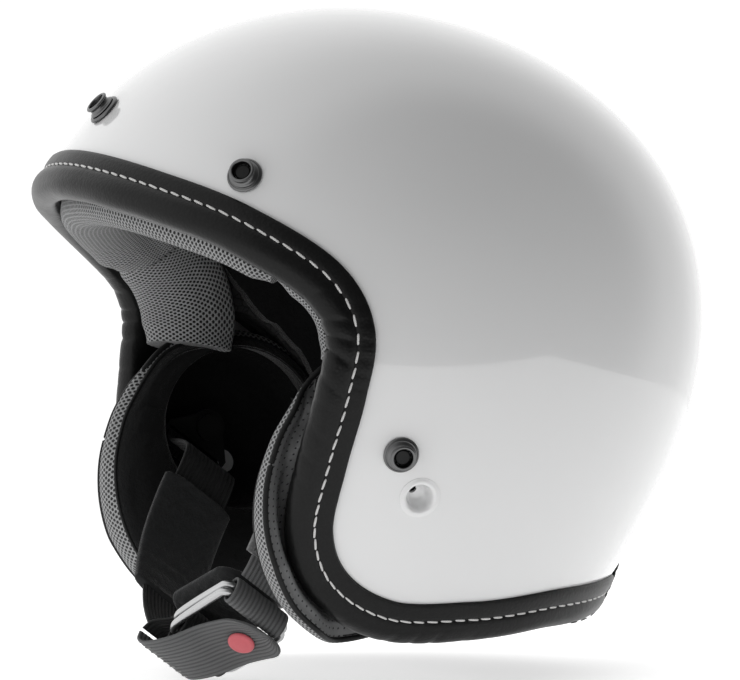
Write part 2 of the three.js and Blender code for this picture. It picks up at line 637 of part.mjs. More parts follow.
// The tail folds back over the rings, with a snap near its tip.
const TAIL_PATH = [
  byRings(14.8, -0.3, 2.4), byRings(14.6, 3, 2.4), byRings(11, 6.8, 2.6), byRings(4.6, 8.9, 4), byRings(-4, 9, 6.6),
  byRings(-14, 7, 9.8), byRings(-24, 7, 13), byRings(-35, 8.8, 16.4),
];
add("strap_tail", ribbon(TAIL_PATH, WEB_WIDTH, WEB_THICKNESS, 26), "webbing", chinStrap);

const tailSnap = byRings(-23, 7, 12.6);
function turnedOnTail(profile) {
  const lathe = new THREE.LatheGeometry(profile.map(([r, h]) => new THREE.Vector2(r, h)), 20);
  const outward = new THREE.Vector3(OUTWARD[0], 0, -OUTWARD[1]);
  const turn = new THREE.Quaternion().setFromUnitVectors(new THREE.Vector3(0, 1, 0), outward);
  const centre = new THREE.Vector3(tailSnap[0], tailSnap[2], -tailSnap[1]);
  return moved(lathe, (p) => p.applyQuaternion(turn).add(centre));
}
const capProfile = [[0, 1.6], [5, 1.6], [5, 2.2], [4.2, 2.8], [0, 3]];
const socketProfile = [[0, -2.6], [3.2, -2.6], [4.4, -2], [4.4, -1.4], [0, -1.4]];
add("tail_snap_cap", turnedOnTail(capProfile), "red", chinStrap);
add("tail_snap_socket", turnedOnTail(socketProfile), "steel", chinStrap);

// Sleeves over the webbing, and the pad between the buckle and the chin.
const sleeve = (path, width, thickness, from, to) =>
  cut(
    ribbon(path, width, thickness, 12, from, to),
    ribbon(path, WEB_WIDTH + 0.8, WEB_THICKNESS + 0.8, 16, from - 0.04, to + 0.04),
  );
add("strap_cover_left", sleeve(LEFT_PATH, 30, 3.6, 0.6, 0.9), "vinyl", chinStrap);
add("strap_cover_right", sleeve(RIGHT_PATH, 32, 4.8, 0.235, 0.49), "fleece", chinStrap);

const CHIN_PAD_PATH = [byRings(-31, -11.6, 7), byRings(-14, -12, 6.4), byRings(6, -12.2, 5.6)];
add("chin_pad", ribbon(CHIN_PAD_PATH, 30, 4.6, 8), "fleece", chinStrap);

export default helmet;
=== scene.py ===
import math

import bpy
import numpy as np
from mathutils import Matrix, Vector


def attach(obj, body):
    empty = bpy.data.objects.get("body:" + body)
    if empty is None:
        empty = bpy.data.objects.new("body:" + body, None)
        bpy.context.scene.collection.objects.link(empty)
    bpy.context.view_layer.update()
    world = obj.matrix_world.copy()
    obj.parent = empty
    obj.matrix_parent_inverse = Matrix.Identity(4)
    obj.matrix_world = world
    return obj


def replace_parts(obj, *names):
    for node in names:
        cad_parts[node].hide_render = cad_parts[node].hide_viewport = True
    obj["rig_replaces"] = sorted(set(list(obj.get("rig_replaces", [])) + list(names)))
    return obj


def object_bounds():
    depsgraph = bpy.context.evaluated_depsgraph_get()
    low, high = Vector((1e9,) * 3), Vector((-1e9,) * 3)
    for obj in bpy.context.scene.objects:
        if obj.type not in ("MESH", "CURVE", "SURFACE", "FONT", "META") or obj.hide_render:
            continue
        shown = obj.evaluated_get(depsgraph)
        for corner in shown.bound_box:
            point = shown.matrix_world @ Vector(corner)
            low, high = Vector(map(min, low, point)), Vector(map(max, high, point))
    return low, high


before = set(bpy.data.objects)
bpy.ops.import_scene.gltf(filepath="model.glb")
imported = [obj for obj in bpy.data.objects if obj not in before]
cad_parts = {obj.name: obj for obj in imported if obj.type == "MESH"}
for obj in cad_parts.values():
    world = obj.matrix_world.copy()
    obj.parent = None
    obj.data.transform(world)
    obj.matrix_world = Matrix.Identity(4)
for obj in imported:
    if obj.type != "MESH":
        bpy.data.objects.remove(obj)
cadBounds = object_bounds()
scene = bpy.context.scene
mm = 0.001
print("frame loaded:", len(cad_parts), "nodes")

# ---- studio: camera, backdrop light and floor ----
studio = {
    "azimuth": 67.81, "elevation": 2.2, "distance": 2.3145, "lens": 299.6,
    "aim": (0.0036, 0.0078, -0.0103),
    # brightness of the surroundings, from the side away from the dark direction (0) to that direction (1)
    "darkSide": (112, 14), "skyStops": [(0.0, 1.1), (0.32, 1.1), (0.58, 0.9), (0.82, 0.24), (1.0, 0.08)],
    "floorColour": 0.9, "floorGlow": 0.6, "floorSize": 1.3,
}


def toward(azimuth, elevation):
    a, e = math.radians(azimuth), math.radians(elevation)
    return Vector((math.sin(a) * math.cos(e), -math.cos(a) * math.cos(e), math.sin(e)))


def makeCamera():
    s = studio
    look = toward(s["azimuth"], s["elevation"])
    data = bpy.data.cameras.new("camera")
    data.lens = s["lens"]
    data.sensor_width = 36
    camera = bpy.data.objects.new("camera", data)
    camera.location = Vector(s["aim"]) + look * s["distance"]
    camera.rotation_euler = (-look).to_track_quat("-Z", "Y").to_euler()
    scene.collection.objects.link(camera)
    scene.camera = camera


makeCamera()
scene.view_settings.view_transform = "Standard"


# ---- materials ----
class Link:
    # a shader socket that adds its own Math nodes when it is used in a sum
    def __init__(self, finish, socket):
        self.finish, self.socket = finish, socket

    def math(self, operation, *values):
        return self.finish.node("ShaderNodeMath", {"operation": operation}, dict(enumerate(values)))

    def __add__(self, other):
        return self.math("ADD", self, other)

    __radd__ = __add__

    def __mul__(self, other):
        return self.math("MULTIPLY", self, other)

    __rmul__ = __mul__

    def __sub__(self, other):
        return self.math("SUBTRACT", self, other)

    def __rsub__(self, other):
        return self.math("SUBTRACT", other, self)

    def __truediv__(self, other):
        return self.math("DIVIDE", self, other)

    def __mod__(self, other):
        return self.math("FLOORED_MODULO", self, other)

    def __pow__(self, other):
        return self.math("POWER", self, other)

    def __lt__(self, other):
        return self.math("LESS_THAN", self, other)

    def __gt__(self, other):
        return self.math("GREATER_THAN", self, other)

    def __abs__(self):
        return self.math("ABSOLUTE", self)

    def rounded(self):
        return self.math("FLOOR", self)

    def wave(self):
        return self.math("SINE", self)

    def ramp(self, low, high):
        # 0 below low, 1 above high and smooth between
        settings = {"interpolation_type": "SMOOTHSTEP"}
        return self.finish.node("ShaderNodeMapRange", settings, {0: self, 1: low, 2: high})


class Finish:
    def __init__(self, name, **constants):
        self.material = bpy.data.materials.new(name)
        self.material.use_nodes = True
        self.tree = self.material.node_tree
        self.shader = self.tree.nodes["Principled BSDF"]
        for socket, value in constants.items():
            self.shader.inputs[socket.replace("_", " ")].default_value = value

    def feed(self, socket, value):
        if isinstance(value, Link):
            self.tree.links.new(value.socket, socket)
        elif isinstance(value, tuple) and len(socket.default_value) == 4:
            socket.default_value = (*value[:3], 1)
        else:
            socket.default_value = value

    def node(self, kind, settings=None, values=None, output=0):
        made = self.tree.nodes.new(kind)
        for key, value in (settings or {}).items():
            setattr(made, key, value)
        for key, value in (values or {}).items():
            self.feed(made.inputs[key], value)
        return Link(self, made.outputs[output])

    def place(self, output="Object"):
        return self.node("ShaderNodeTexCoord", None, None, output)

    def noise(self, scale, detail=3.0, roughness=0.5, at=None):
        values = {"Vector": at or self.place(), "Scale": scale, "Detail": detail, "Roughness": roughness}
        return self.node("ShaderNodeTexNoise", None, values)

    def cells(self, scale, at=None, feature="F1"):
        return self.node("ShaderNodeTexVoronoi", {"feature": feature}, {"Vector": at or self.place(), "Scale": scale})

    def along(self, axis):
        # the piece's own cloth coordinates, in millimetres
        return self.node("ShaderNodeSeparateXYZ", None, {0: self.place("UV")}, axis)

    def tint(self, amount, first, second):
        values = {0: amount, 6: first, 7: second}
        return self.node("ShaderNodeMix", {"data_type": "RGBA"}, values, 2)

    def colour(self, value):
        self.feed(self.shader.inputs["Base Color"], value)

    def roughness(self, value):
        self.feed(self.shader.inputs["Roughness"], value)

    def relief(self, height, depth, strength=1.0):
        values = {"Strength": strength, "Distance": depth * mm, "Height": height}
        self.feed(self.shader.inputs["Normal"], self.node("ShaderNodeBump", None, values))


def grey(value, tilt=0.0):
    return (value, value * (1 + tilt / 2), value * (1 + tilt))


def glossFinish(name, shade, roughness, coat):
    f = Finish(name, Coat_Weight=coat, Coat_Roughness=0.02)
    cloud = f.noise(14, 2)
    f.colour(f.tint(cloud, grey(shade * 0.985, 0.004), grey(shade, 0.006)))
    f.roughness(roughness + 0.05 * f.noise(40, 4))
    f.relief(f.noise(420, 2), 0.012, 0.35)
    return f.material


def leatherFinish(name, shade, roughness, grain, depth=0.16, tilt=0.02):
    f = Finish(name, Specular_IOR_Level=0.22)
    pebbles = f.cells(grain)
    creases = f.noise(grain * 0.35, 5, 0.6)
    worn = f.noise(22, 4, 0.6).ramp(0.45, 0.75)
    tone = f.tint(pebbles.ramp(0.1, 0.7), grey(shade * 1.15, tilt), grey(shade * 0.75, tilt))
    f.colour(f.tint(worn * 0.35, tone, grey(shade * 1.7, tilt)))
    f.roughness(roughness + 0.12 * creases + 0.06 * worn - 0.06)
    f.relief(creases * 0.6 - pebbles * 0.7, depth, 0.6)
    return f.material


def perforatedFinish(name, shade, pitch, hole):
    # staggered needle holes in fine leather
    f = Finish(name, Specular_IOR_Level=0.4)
    u, v = f.along(0) / pitch, f.along(1) / pitch
    row = v.rounded()
    a = (u + 0.5 * (row % 2)) % 1 - 0.5
    b = v % 1 - 0.5
    spot = (a * a + b * b) ** 0.5
    gapShare = 1 - spot.ramp(hole / pitch / 2 - 0.06, hole / pitch / 2 + 0.05)
    fine = f.noise(900, 4, 0.6)
    skin = f.tint(fine, grey(shade * 0.85, 0.02), grey(shade * 1.15, 0.02))
    f.colour(f.tint(gapShare, skin, grey(0.003)))
    f.roughness(0.46 + 0.14 * fine + 0.2 * gapShare)
    f.relief(fine * 0.25 - gapShare, 0.25, 0.7)
    return f.material


def meshFinish(name, shade, pitch, hole):
    # open spacer mesh: staggered oval holes, the knit round each a little raised
    f = Finish(name, Sheen_Weight=0.25, Sheen_Roughness=0.5, Specular_IOR_Level=0.25)
    u, v = f.along(0) / pitch, f.along(1) / (pitch * 0.82)
    row = v.rounded()
    a = (u + 0.5 * (row % 2)) % 1 - 0.5
    b = (v % 1 - 0.5) * 0.82
    fray = f.noise(1400, 3, 0.6)
    spot = (a * a * 1.35 + b * b * 0.8) ** 0.5 + (fray - 0.5) * 0.14
    size = hole / pitch / 2
    gapShare = 1 - spot.ramp(size - 0.05, size + 0.07)
    knit = (f.along(0) * 9.5 + (f.along(1) * 7).wave() * 1.6).wave() * 0.5 + 0.5
    yarn = f.tint(knit * 0.6 + fray * 0.4, grey(shade * 0.62, 0.02), grey(shade * 1.25, 0.02))
    f.colour(f.tint(gapShare, yarn, grey(0.004)))
    f.roughness(0.72 + 0.2 * fray)
    f.relief(knit * 0.25 + fray * 0.2 - gapShare, 0.5, 0.9)
    return f.material


def fleeceFinish(name, shade, sheen=0.35):
    f = Finish(name, Sheen_Weight=sheen, Sheen_Roughness=0.35, Specular_IOR_Level=0.12)
    tufts = f.noise(520, 6, 0.7)
    nap = f.noise(55, 4, 0.6)
    f.colour(f.tint(tufts * 0.6 + nap * 0.4, grey(shade * 0.35, 0.04), grey(shade * 1.7, 0.04)))
    f.roughness(0.86 + 0.12 * nap)
    f.relief(tufts + 0.8 * nap, 0.8, 0.8)
    return f.material


def webbingFinish(name, shade, pitch):
    # ribs along the strap, crossed by fine picks
    f = Finish(name, Sheen_Weight=0.15, Sheen_Roughness=0.4, Specular_IOR_Level=0.3)
    across, along = f.along(1), f.along(0)
    rib = (across * (2 * math.pi / pitch)).wave() * 0.5 + 0.5
    pick = ((along + 0.25 * rib) * (2 * math.pi / 0.62)).wave() * 0.5 + 0.5
    fray = f.noise(1500, 3, 0.6)
    body = rib ** 0.6
    f.colour(f.tint(body * 0.7 + fray * 0.2 + pick * 0.1, grey(shade * 0.42, 0.02), grey(shade * 1.25, 0.03)))
    f.roughness(0.6 + 0.2 * fray)
    f.relief(body + 0.22 * pick + 0.15 * fray, 0.4, 0.9)
    return f.material


def metalFinish(name, shade, roughness):
    f = Finish(name, Metallic=1.0)
    brushed = f.noise(900, 5, 0.65)
    dulled = f.noise(60, 3)
    f.colour(f.tint(dulled, grey(shade * 0.88, 0.01), grey(shade * 1.06, 0.01)))
    f.roughness(roughness + 0.12 * brushed + 0.06 * dulled)
    f.relief(brushed, 0.01, 0.4)
    return f.material


def plasticFinish(name, colour, roughness):
    f = Finish(name)
    fine = f.noise(1300, 2)
    wear = f.noise(90, 4, 0.6).ramp(0.4, 0.8)
    pale = tuple(c * 1.25 + 0.01 for c in colour)
    f.colour(f.tint(wear * 0.4, colour, pale))
    f.roughness(roughness + 0.1 * fine + 0.08 * wear)
    f.relief(fine, 0.02, 0.4)
    return f.material


def foamFinish(name, shade):
    f = Finish(name, Specular_IOR_Level=0.3)
    beads = f.cells(330, None, "DISTANCE_TO_EDGE")
    f.colour(f.tint(beads.ramp(0.0, 0.12), grey(shade * 0.4), grey(shade)))
    f.roughness(0.7 + 0.15 * f.noise(700, 3))
    f.relief(beads.ramp(0.0, 0.2), 0.25, 0.7)
    return f.material


def threadFinish(name, shade):
    f = Finish(name, Specular_IOR_Level=0.3)
    values = {"Vector": f.place(), "Scale": 900, "Distortion": 1.0}
    twist = f.node("ShaderNodeTexWave", {"bands_direction": "DIAGONAL"}, values)
    f.colour(f.tint(twist, grey(shade * 0.75, -0.02), grey(shade, -0.02)))
    f.roughness(0.65 + 0.15 * twist)
    f.relief(twist, 0.08, 0.6)
    return f.material


finishes = {
    "shellGloss": glossFinish("white_gloss_lacquer", 0.82, 0.10, 1.0),
    "trimLeather": leatherFinish("black_trim_leather", 0.005, 0.34, 900),
    "liningLeather": leatherFinish("black_lining_leather", 0.006, 0.46, 800),
    "pipingLeather": leatherFinish("black_piping", 0.010, 0.5, 1200, 0.08),
    "cheekLeather": perforatedFinish("perforated_grey_leather", 0.15, 2.9, 0.75),
    "greyMesh": meshFinish("grey_spacer_mesh", 0.36, 2.05, 1.34),
    "blackFleece": fleeceFinish("black_fleece", 0.010),
    "strapFleece": fleeceFinish("charcoal_strap_fleece", 0.03, 0.3),
    "webbing": webbingFinish("ribbed_webbing", 0.11, 1.75),
    # the far strap's webbing: the same ribbed webbing as the near strap, painted much darker as painted shade
    "farShadedWebbing": webbingFinish("far_strap_shaded_webbing", 0.014, 1.75),
    "greyVinyl": leatherFinish("grey_vinyl", 0.17, 0.5, 1100, 0.08),
    "gunmetal": metalFinish("gunmetal_plating", 0.16, 0.22),
    "snapWell": metalFinish("dark_snap_well", 0.03, 0.4),
    "ringSteel": metalFinish("satin_ring_steel", 0.55, 0.2),
    "brightSteel": metalFinish("plain_steel", 0.5, 0.24),
    "redPlastic": plasticFinish("red_snap_plastic", (0.56, 0.10, 0.12), 0.36),
    "padPlate": plasticFinish("black_pad_plate", (0.02, 0.02, 0.021), 0.45),
    "linerFoam": foamFinish("black_bead_foam", 0.05),
    "whiteThread": threadFinish("white_thread", 0.82),
    "blackThread": threadFinish("black_thread", 0.02),
    "redThread": threadFinish("red_thread", 0.35),
}
print("materials made:", len(finishes))

# ---- the shell's surface and rim, with the same dimensions as the model ----
shellDims = {
    "halfWidth": 116.5, "front": 124.0, "back": 137.6, "crown": 115.0, "nape": 162.6,
    "chinFall": -0.017, "shoulder": -0.11, "thickness": 4.2, "poleElevation": 40.0,
    "rimHalf": [
        (0, 116.4), (30, 114), (50, 109.6), (68, 106.6), (76, 108.9), (83, 116.4), (92, 126.4), (104, 134.8),
        (115, 136.6), (124, 134.7), (132.5, 128.9), (140, 116.8), (150, 103), (165, 92.5), (180, 89.5),
    ],
}


def unit(v):
    return v / np.linalg.norm(v, axis=-1, keepdims=True)


def shellRadius(d):
    s = shellDims
    x, y, z = d[..., 0], d[..., 1], d[..., 2]
    depth = (s["front"] + s["back"]) / 2 + (s["back"] - s["front"]) / 2 * y
    height = (s["crown"] + s["nape"]) / 2 + (s["crown"] - s["nape"]) / 2 * z
    egg = 1 / np.sqrt((x / s["halfWidth"]) ** 2 + (y / depth) ** 2 + (z / height) ** 2)
    return egg * (1 + s["chinFall"] * y * z + s["shoulder"] * (y * z) ** 2)


def aboveShell(p):
    far = np.linalg.norm(p, axis=-1)
    return far - shellRadius(p / far[..., None])


def shellNormal(p):
    return unit(np.stack([aboveShell(p + step) - aboveShell(p - step) for step in np.eye(3) * 0.01], axis=-1))


def onShell(d, offset=0.0):
    d = unit(np.asarray(d, float))
    p = d * shellRadius(d)[..., None]
    return p + shellNormal(p) * np.broadcast_to(offset, p.shape[:-1])[..., None]


poleTilt = math.radians(shellDims["poleElevation"])
pole = np.array([0, math.cos(poleTilt), math.sin(poleTilt)])
poleUp = np.array([0, -math.sin(poleTilt), math.cos(poleTilt)])


def aboutPole(turn, away):
    a, b = np.radians(turn)[..., None], np.radians(away)[..., None]
    return pole * np.cos(b) + poleUp * np.sin(b) * np.cos(a) + np.array([1.0, 0, 0]) * np.sin(b) * np.sin(a)


def smoothPath(points, closed=False, steps=48):
    # a centripetal Catmull-Rom curve through the points, as a dense line
    p = np.asarray(points, float)
    ends = (p[-1:], p[:2]) if closed else (2 * p[:1] - p[1:2], 2 * p[-1:] - p[-2:-1])
    ring = np.concatenate([ends[0], p, ends[1]])
    t = np.linspace(0, 1, steps, endpoint=False)[:, None]
    line = []
    for a, b, c, d in zip(ring, ring[1:], ring[2:], ring[3:]):
        ab, bc, cd = (max(np.linalg.norm(q - r), 1e-9) ** 0.5 for q, r in ((a, b), (b, c), (c, d)))
        leave = ((b - a) / ab - (c - a) / (ab + bc) + (c - b) / bc) * bc
        arrive = ((c - b) / bc - (d - b) / (bc + cd) + (d - c) / cd) * bc
        line.append(b + leave * t + (3 * (c - b) - 2 * leave - arrive) * t**2 + (2 * (b - c) + leave + arrive) * t**3)
    line.append(p[:1] if closed else p[-1:])
    return np.concatenate(line)


class Track:
    # a line that is read by its share of the way along
    def __init__(self, line, closed=False):
        self.line, self.closed = line, closed
        self.run = np.concatenate([[0], np.cumsum(np.linalg.norm(np.diff(line, axis=0), axis=1))])
        self.length = self.run[-1]

    def at(self, share):
        s = (np.asarray(share) % 1 if self.closed else np.clip(share, 0, 1)) * self.length
        return np.stack([np.interp(s, self.run, self.line[:, i]) for i in range(self.line.shape[1])], axis=-1)

    def heading(self, share, step=1e-3):
        share = np.asarray(share, float)
        ahead, behind = share + step, share - step
        if not self.closed:
            ahead, behind = np.minimum(ahead, 1), np.maximum(behind, 0)
        return unit(self.at(ahead) - self.at(behind))


otherHalf = [(-a, b) for a, b in shellDims["rimHalf"][1:-1]]
rimTurns = np.array([(a, b) for a, b in shellDims["rimHalf"][::-1]] + otherHalf, float)
rim = Track(smoothPath(onShell(aboutPole(rimTurns[:, 0], rimTurns[:, 1])), closed=True), closed=True)


def rimPoint(u, inset, offset):
    # inset is measured along the shell away from the opening, and offset along its normal
    u = np.asarray(u, float)
    p = onShell(rim.at(u))
    inward = unit(np.cross(rim.heading(u), shellNormal(p)))
    base = p + inward * np.broadcast_to(inset, u.shape)[..., None]
    return onShell(base, offset)


halfWay = np.linspace(0, 0.5, 801)
halfTurns = np.degrees(np.arctan2(rim.at(halfWay)[:, 0], rim.at(halfWay) @ poleUp))


def rimAt(turn):
    # where on the wearer's left half of the rim a turn about the pole comes
    return float(np.interp(turn, halfTurns[::-1], halfWay[::-1]))


# ---- making and finishing pieces ----
def clearSelection():
    bpy.ops.object.select_all(action="DESELECT")


def coordsOf(obj):
    co = np.empty(len(obj.data.vertices) * 3)
    obj.data.vertices.foreach_get("co", co)
    return co.reshape(-1, 3)


def setCoords(obj, co):
    obj.data.vertices.foreach_set("co", np.asarray(co, float).ravel())
    obj.data.update()


def tidyMesh(obj, fillEnds=False):
    clearSelection()
    obj.select_set(True)
    bpy.context.view_layer.objects.active = obj
    bpy.ops.object.mode_set(mode="EDIT")
    bpy.ops.mesh.select_all(action="SELECT")
    bpy.ops.mesh.remove_doubles(threshold=2e-6)
    if fillEnds:
        bpy.ops.mesh.select_all(action="SELECT")
        bpy.ops.mesh.fill_holes(sides=0)
    bpy.ops.mesh.select_all(action="SELECT")
    bpy.ops.mesh.normals_make_consistent(inside=False)
    bpy.ops.object.mode_set(mode="OBJECT")


def smoothShade(obj, angle=40):
    clearSelection()
    obj.select_set(True)
    bpy.context.view_layer.objects.active = obj
    bpy.ops.object.shade_smooth_by_angle(angle=math.radians(angle))


def finishPiece(obj, name, finish, body, replaced=()):
    obj.name = obj.data.name = name
    if finish:
        obj.data.materials.clear()
        obj.data.materials.append(finishes[finish])
    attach(obj, body)
    if replaced:
        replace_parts(obj, *replaced)
    return obj


def gridPiece(columns, rows, place, fillEnds=True, angle=40):
    # a grid primitive bent to place(u, v), which gives points and cloth coordinates in millimetres
    clearSelection()
    bpy.ops.mesh.primitive_grid_add(x_subdivisions=columns, y_subdivisions=rows, size=1, calc_uvs=True)
    obj = bpy.context.object
    flat = coordsOf(obj)[:, :2] + 0.5
    points, cloth = place(flat[:, 0], flat[:, 1])
    setCoords(obj, points * mm)
    corner = np.empty(len(obj.data.loops), int)
    obj.data.loops.foreach_get("vertex_index", corner)
    obj.data.uv_layers.active.data.foreach_set("uv", cloth[corner].astype(np.float32).ravel())
    tidyMesh(obj, fillEnds)
    smoothShade(obj, angle)
    return obj


def turnedPiece(profile, segments=48, angle=32):
    # a ring drawn out level by level to each [radius, height] of the profile
    clearSelection()
    radius, height = profile[0]
    radius = max(radius, 0.001)
    bpy.ops.mesh.primitive_circle_add(vertices=segments, radius=radius * mm, location=(0, 0, 0))
    obj = bpy.context.object
    bpy.ops.object.mode_set(mode="EDIT")
    bpy.ops.mesh.select_all(action="SELECT")
    bpy.ops.transform.translate(value=(0, 0, height * mm))
    for nextRadius, nextHeight in profile[1:]:
        nextRadius = max(nextRadius, 0.001)
        bpy.ops.mesh.extrude_region_move(TRANSFORM_OT_translate={"value": (0, 0, (nextHeight - height) * mm)})
        grow = nextRadius / radius
        bpy.ops.transform.resize(value=(grow, grow, 1), center_override=(0, 0, nextHeight * mm))
        radius, height = nextRadius, nextHeight
    bpy.ops.object.mode_set(mode="OBJECT")
    tidyMesh(obj)
    smoothShade(obj, angle)
    return obj


def standing(point, normal, twist=0.0):
    # the matrix that stands a turned piece on a point, along a normal
    turn = Vector(normal).to_track_quat("Z", "Y").to_matrix().to_4x4()
    return Matrix.Translation(Vector(np.asarray(point) * mm)) @ turn @ Matrix.Rotation(twist, 4, "Z")


def onShellAt(direction, offset=0.0):
    p = onShell(np.array(direction, float))
    n = shellNormal(p)
    return standing(p + n * offset, n)


def copyOf(obj, matrix):
    new = obj.copy()
    new.data = obj.data.copy()
    new.data.transform(matrix)
    scene.collection.objects.link(new)
    return new


def joined(parts):
    clearSelection()
    for part in parts:
        part.select_set(True)
    bpy.context.view_layer.objects.active = parts[0]
    bpy.ops.object.join()
    return parts[0]


def discard(obj):
    bpy.data.objects.remove(obj, do_unlink=True)


def cutBy(obj, tool):
    # a hole where the tool is, with the tool then thrown away
    cut = obj.modifiers.new("cut", "BOOLEAN")
    cut.operation, cut.solver, cut.object = "DIFFERENCE", "EXACT", tool
    clearSelection()
    bpy.context.view_layer.objects.active = obj
    obj.select_set(True)
    bpy.ops.object.modifier_apply(modifier=cut.name)
    discard(tool)


def bellShape(x, centre, spread):
    return np.exp(-(((x - centre) / spread) ** 2))


def stepUp(x, low, high):
    t = np.clip((x - low) / (high - low), 0, 1)
    return t * t * (3 - 2 * t)


def stitchRow(name, places, stitch, finish, body):
    # places: (point, heading, normal, length) of each stitch, in millimetres
    clearSelection()
    bpy.ops.mesh.primitive_uv_sphere_add(segments=8, ring_count=6, radius=0.5)
    base = bpy.context.object
    co = coordsOf(base)
    co[:, 2] = np.sign(co[:, 2]) * (np.abs(co[:, 2]) * 2) ** 0.45 / 2
    setCoords(base, co)
    smoothShade(base, 60)
    made = []
    for point, heading, normal, length in places:
        h = Vector(heading).normalized()
        n = Vector(normal).normalized()
        side = h.cross(n).normalized()
        lean = (h + side * math.tan(math.radians(stitch["lean"]))).normalized()
        n = lean.cross(side).normalized() * -1
        frameAxes = Matrix((side, -n, lean)).transposed().to_4x4()
        size = Matrix.Diagonal((stitch["width"] * mm, stitch["height"] * mm, length * mm, 1))
        made.append(copyOf(base, Matrix.Translation(Vector(point) * mm) @ frameAxes @ size))
    discard(base)
    row = joined(made)
    return finishPiece(row, name, finish, body)


# ---- shell: a bowl with the vent dimples ----
shellPiece = {
    "segments": 384, "rows": 64,
    "dimple": (104.9, -14.1, -63.2), "ventShift": (0, -1.6, 1.4), "cutRadius": 6.9,
    "cup": [
        (7.6, -0.5), (7.6, 0.02), (7.2, 0.10), (6.7, 0.30), (6.2, 0.44), (5.7, 0.42), (5.3, 0.2),
        (5.0, -0.2), (4.75, -0.8),
        (4.55, -1.6), (4.3, -2.6), (4.0, -3.6), (3.5, -4.5), (2.8, -5.1), (1.9, -5.45), (0.9, -5.6),
        (0.001, -5.62),
        (0.001, -8.2), (4.6, -8.1), (6.7, -6.4), (7.1, -4.4), (7.6, -0.5),
    ],
    "ventRadius": 1.45,
}


def bowlPiece(inset, outer, inner, segments, rows, edgeShare=None):
    # a UV sphere whose north becomes the outer face and whose south becomes the inner one
    clearSelection()
    rings = 2 * rows + 1
    bpy.ops.mesh.primitive_uv_sphere_add(segments=segments, ring_count=rings, radius=1)
    obj = bpy.context.object
    d = unit(coordsOf(obj))
    level = np.round(np.arccos(np.clip(d[:, 2], -1, 1)) / math.pi * rings)
    outside = level <= rows
    share = np.where(outside, level, rings - level) / rows
    u = np.arctan2(d[:, 1], d[:, 0]) / (2 * math.pi)
    if edgeShare is not None:
        share = share * edgeShare(u)
    edge = unit(rimPoint(u, inset, 0))
    angle = np.arccos(np.clip(edge @ pole, -1, 1)) * share
    across = unit(edge - (edge @ pole)[:, None] * pole)
    way = pole * np.cos(angle)[:, None] + across * np.sin(angle)[:, None]
    depth = np.where(outside, outer, inner(way, share) if callable(inner) else inner)
    setCoords(obj, onShell(way, depth) * mm)
    tidyMesh(obj)
    smoothShade(obj, 50)
    return obj


def flipped(obj):
    # the same piece for the wearer's right side
    new = copyOf(obj, Matrix.Diagonal((-1, 1, 1, 1)))
    clearSelection()
    bpy.context.view_layer.objects.active = new
    new.select_set(True)
    bpy.ops.object.mode_set(mode="EDIT")
    bpy.ops.mesh.select_all(action="SELECT")
    bpy.ops.mesh.flip_normals()
    bpy.ops.object.mode_set(mode="OBJECT")
    return new


def makeShell():
    s = shellPiece
    shell = bowlPiece(0, 0.0, -shellDims["thickness"], s["segments"], s["rows"])
    cup = turnedPiece(s["cup"], 64, 30)
    cup.data.transform(onShellAt(s["dimple"]))
    vent = turnedPiece([(0.001, -14), (s["ventRadius"], -14), (s["ventRadius"], -2.2), (0.001, -2.2)], 24)
    vent.data.transform(onShellAt(np.array(s["dimple"]) + np.array(s["ventShift"])))
    cutBy(cup, vent)
    parts = [shell]
    for side in (1, -1):
        hole = turnedPiece([(0.001, -9), (s["cutRadius"], -9), (s["cutRadius"], 9), (0.001, 9)], 48)
        hole.data.transform(onShellAt((side * s["dimple"][0], s["dimple"][1], s["dimple"][2])))
        cutBy(shell, hole)
    parts += [cup, flipped(cup)]
    shell = joined(parts)
    smoothShade(shell, 30)
    finishPiece(shell, "helmet_shell", "shellGloss", "helmet", ["shell"])


makeShell()
print("shell made")

# ---- edge trim: stuffed leather folded over the rim ----
trim = {
    "section": [
        (12.9, 0.15), (12.75, 1.15), (12.1, 1.75), (10.4, 2.15), (8.4, 2.35), (7.0, 2.25), (6.3, 1.75),
        (5.7, 2.25),
        (4.4, 3.1), (2.2, 3.65), (-0.4, 3.55), (-2.7, 2.6), (-4.5, 0.9), (-5.45, -1.6), (-5.5, -4.2),
        (-4.6, -6.5),
        (-2.9, -7.8), (-0.5, -8.3), (3.5, -8.3), (8, -8.1), (8.3, -7.2), (8, -6.4), (3, -6.3), (-1, -6.1),
        (-1.6, -5),
        (-1.7, -2.6), (-1.6, -0.4), (-1, 0.3), (2, 0.32), (7, 0.25), (11, 0.18),
    ],
    "columns": 900, "rows": 62, "butt": 0.0004,
    "stitchInset": 6.3, "stitchPitch": 5.25, "stitchLength": 4.5,
    # turn about the pole, half spread of the gathers along the rim, folds, height
    "gathers": [(76.5, 0.021, 7, 0.85), (92, 0.018, 4, 0.35), (123, 0.02, 5, 0.3), (136, 0.022, 6, 0.4)],
}


def trimFolds(u, inset, offset):
    # gathers on the padded side of the stitches, where the leather turns a tight corner
    lift = np.zeros_like(u)
    padded = stepUp(6.2 - inset, 0.3, 3.5) * stepUp(offset, -8, -4)
    flat = stepUp(inset, 6.6, 8.5) * stepUp(offset, 0.3, 1.4)
    for turn, spread, folds, height in trim["gathers"]:
        for centre in (rimAt(turn), 1 - rimAt(turn)):
            near = bellShape(u % 1, centre, spread)
            phase = (u % 1 - centre) / spread * folds
            slant = 0.35 * inset
            crease = 1 - np.abs(np.sin(phase + slant * 0.5 + 0.7 * np.sin(phase * 0.6)))
            lift -= height * near * padded * crease**2.2
            lift -= 0.3 * height * near * flat * (1 - np.abs(np.sin(phase * 1.7 + 1.0)) ) ** 2
    soft = 0.10 * np.sin(u * 71 + inset) + 0.07 * np.sin(u * 167 + 1.3)
    return lift + soft * padded


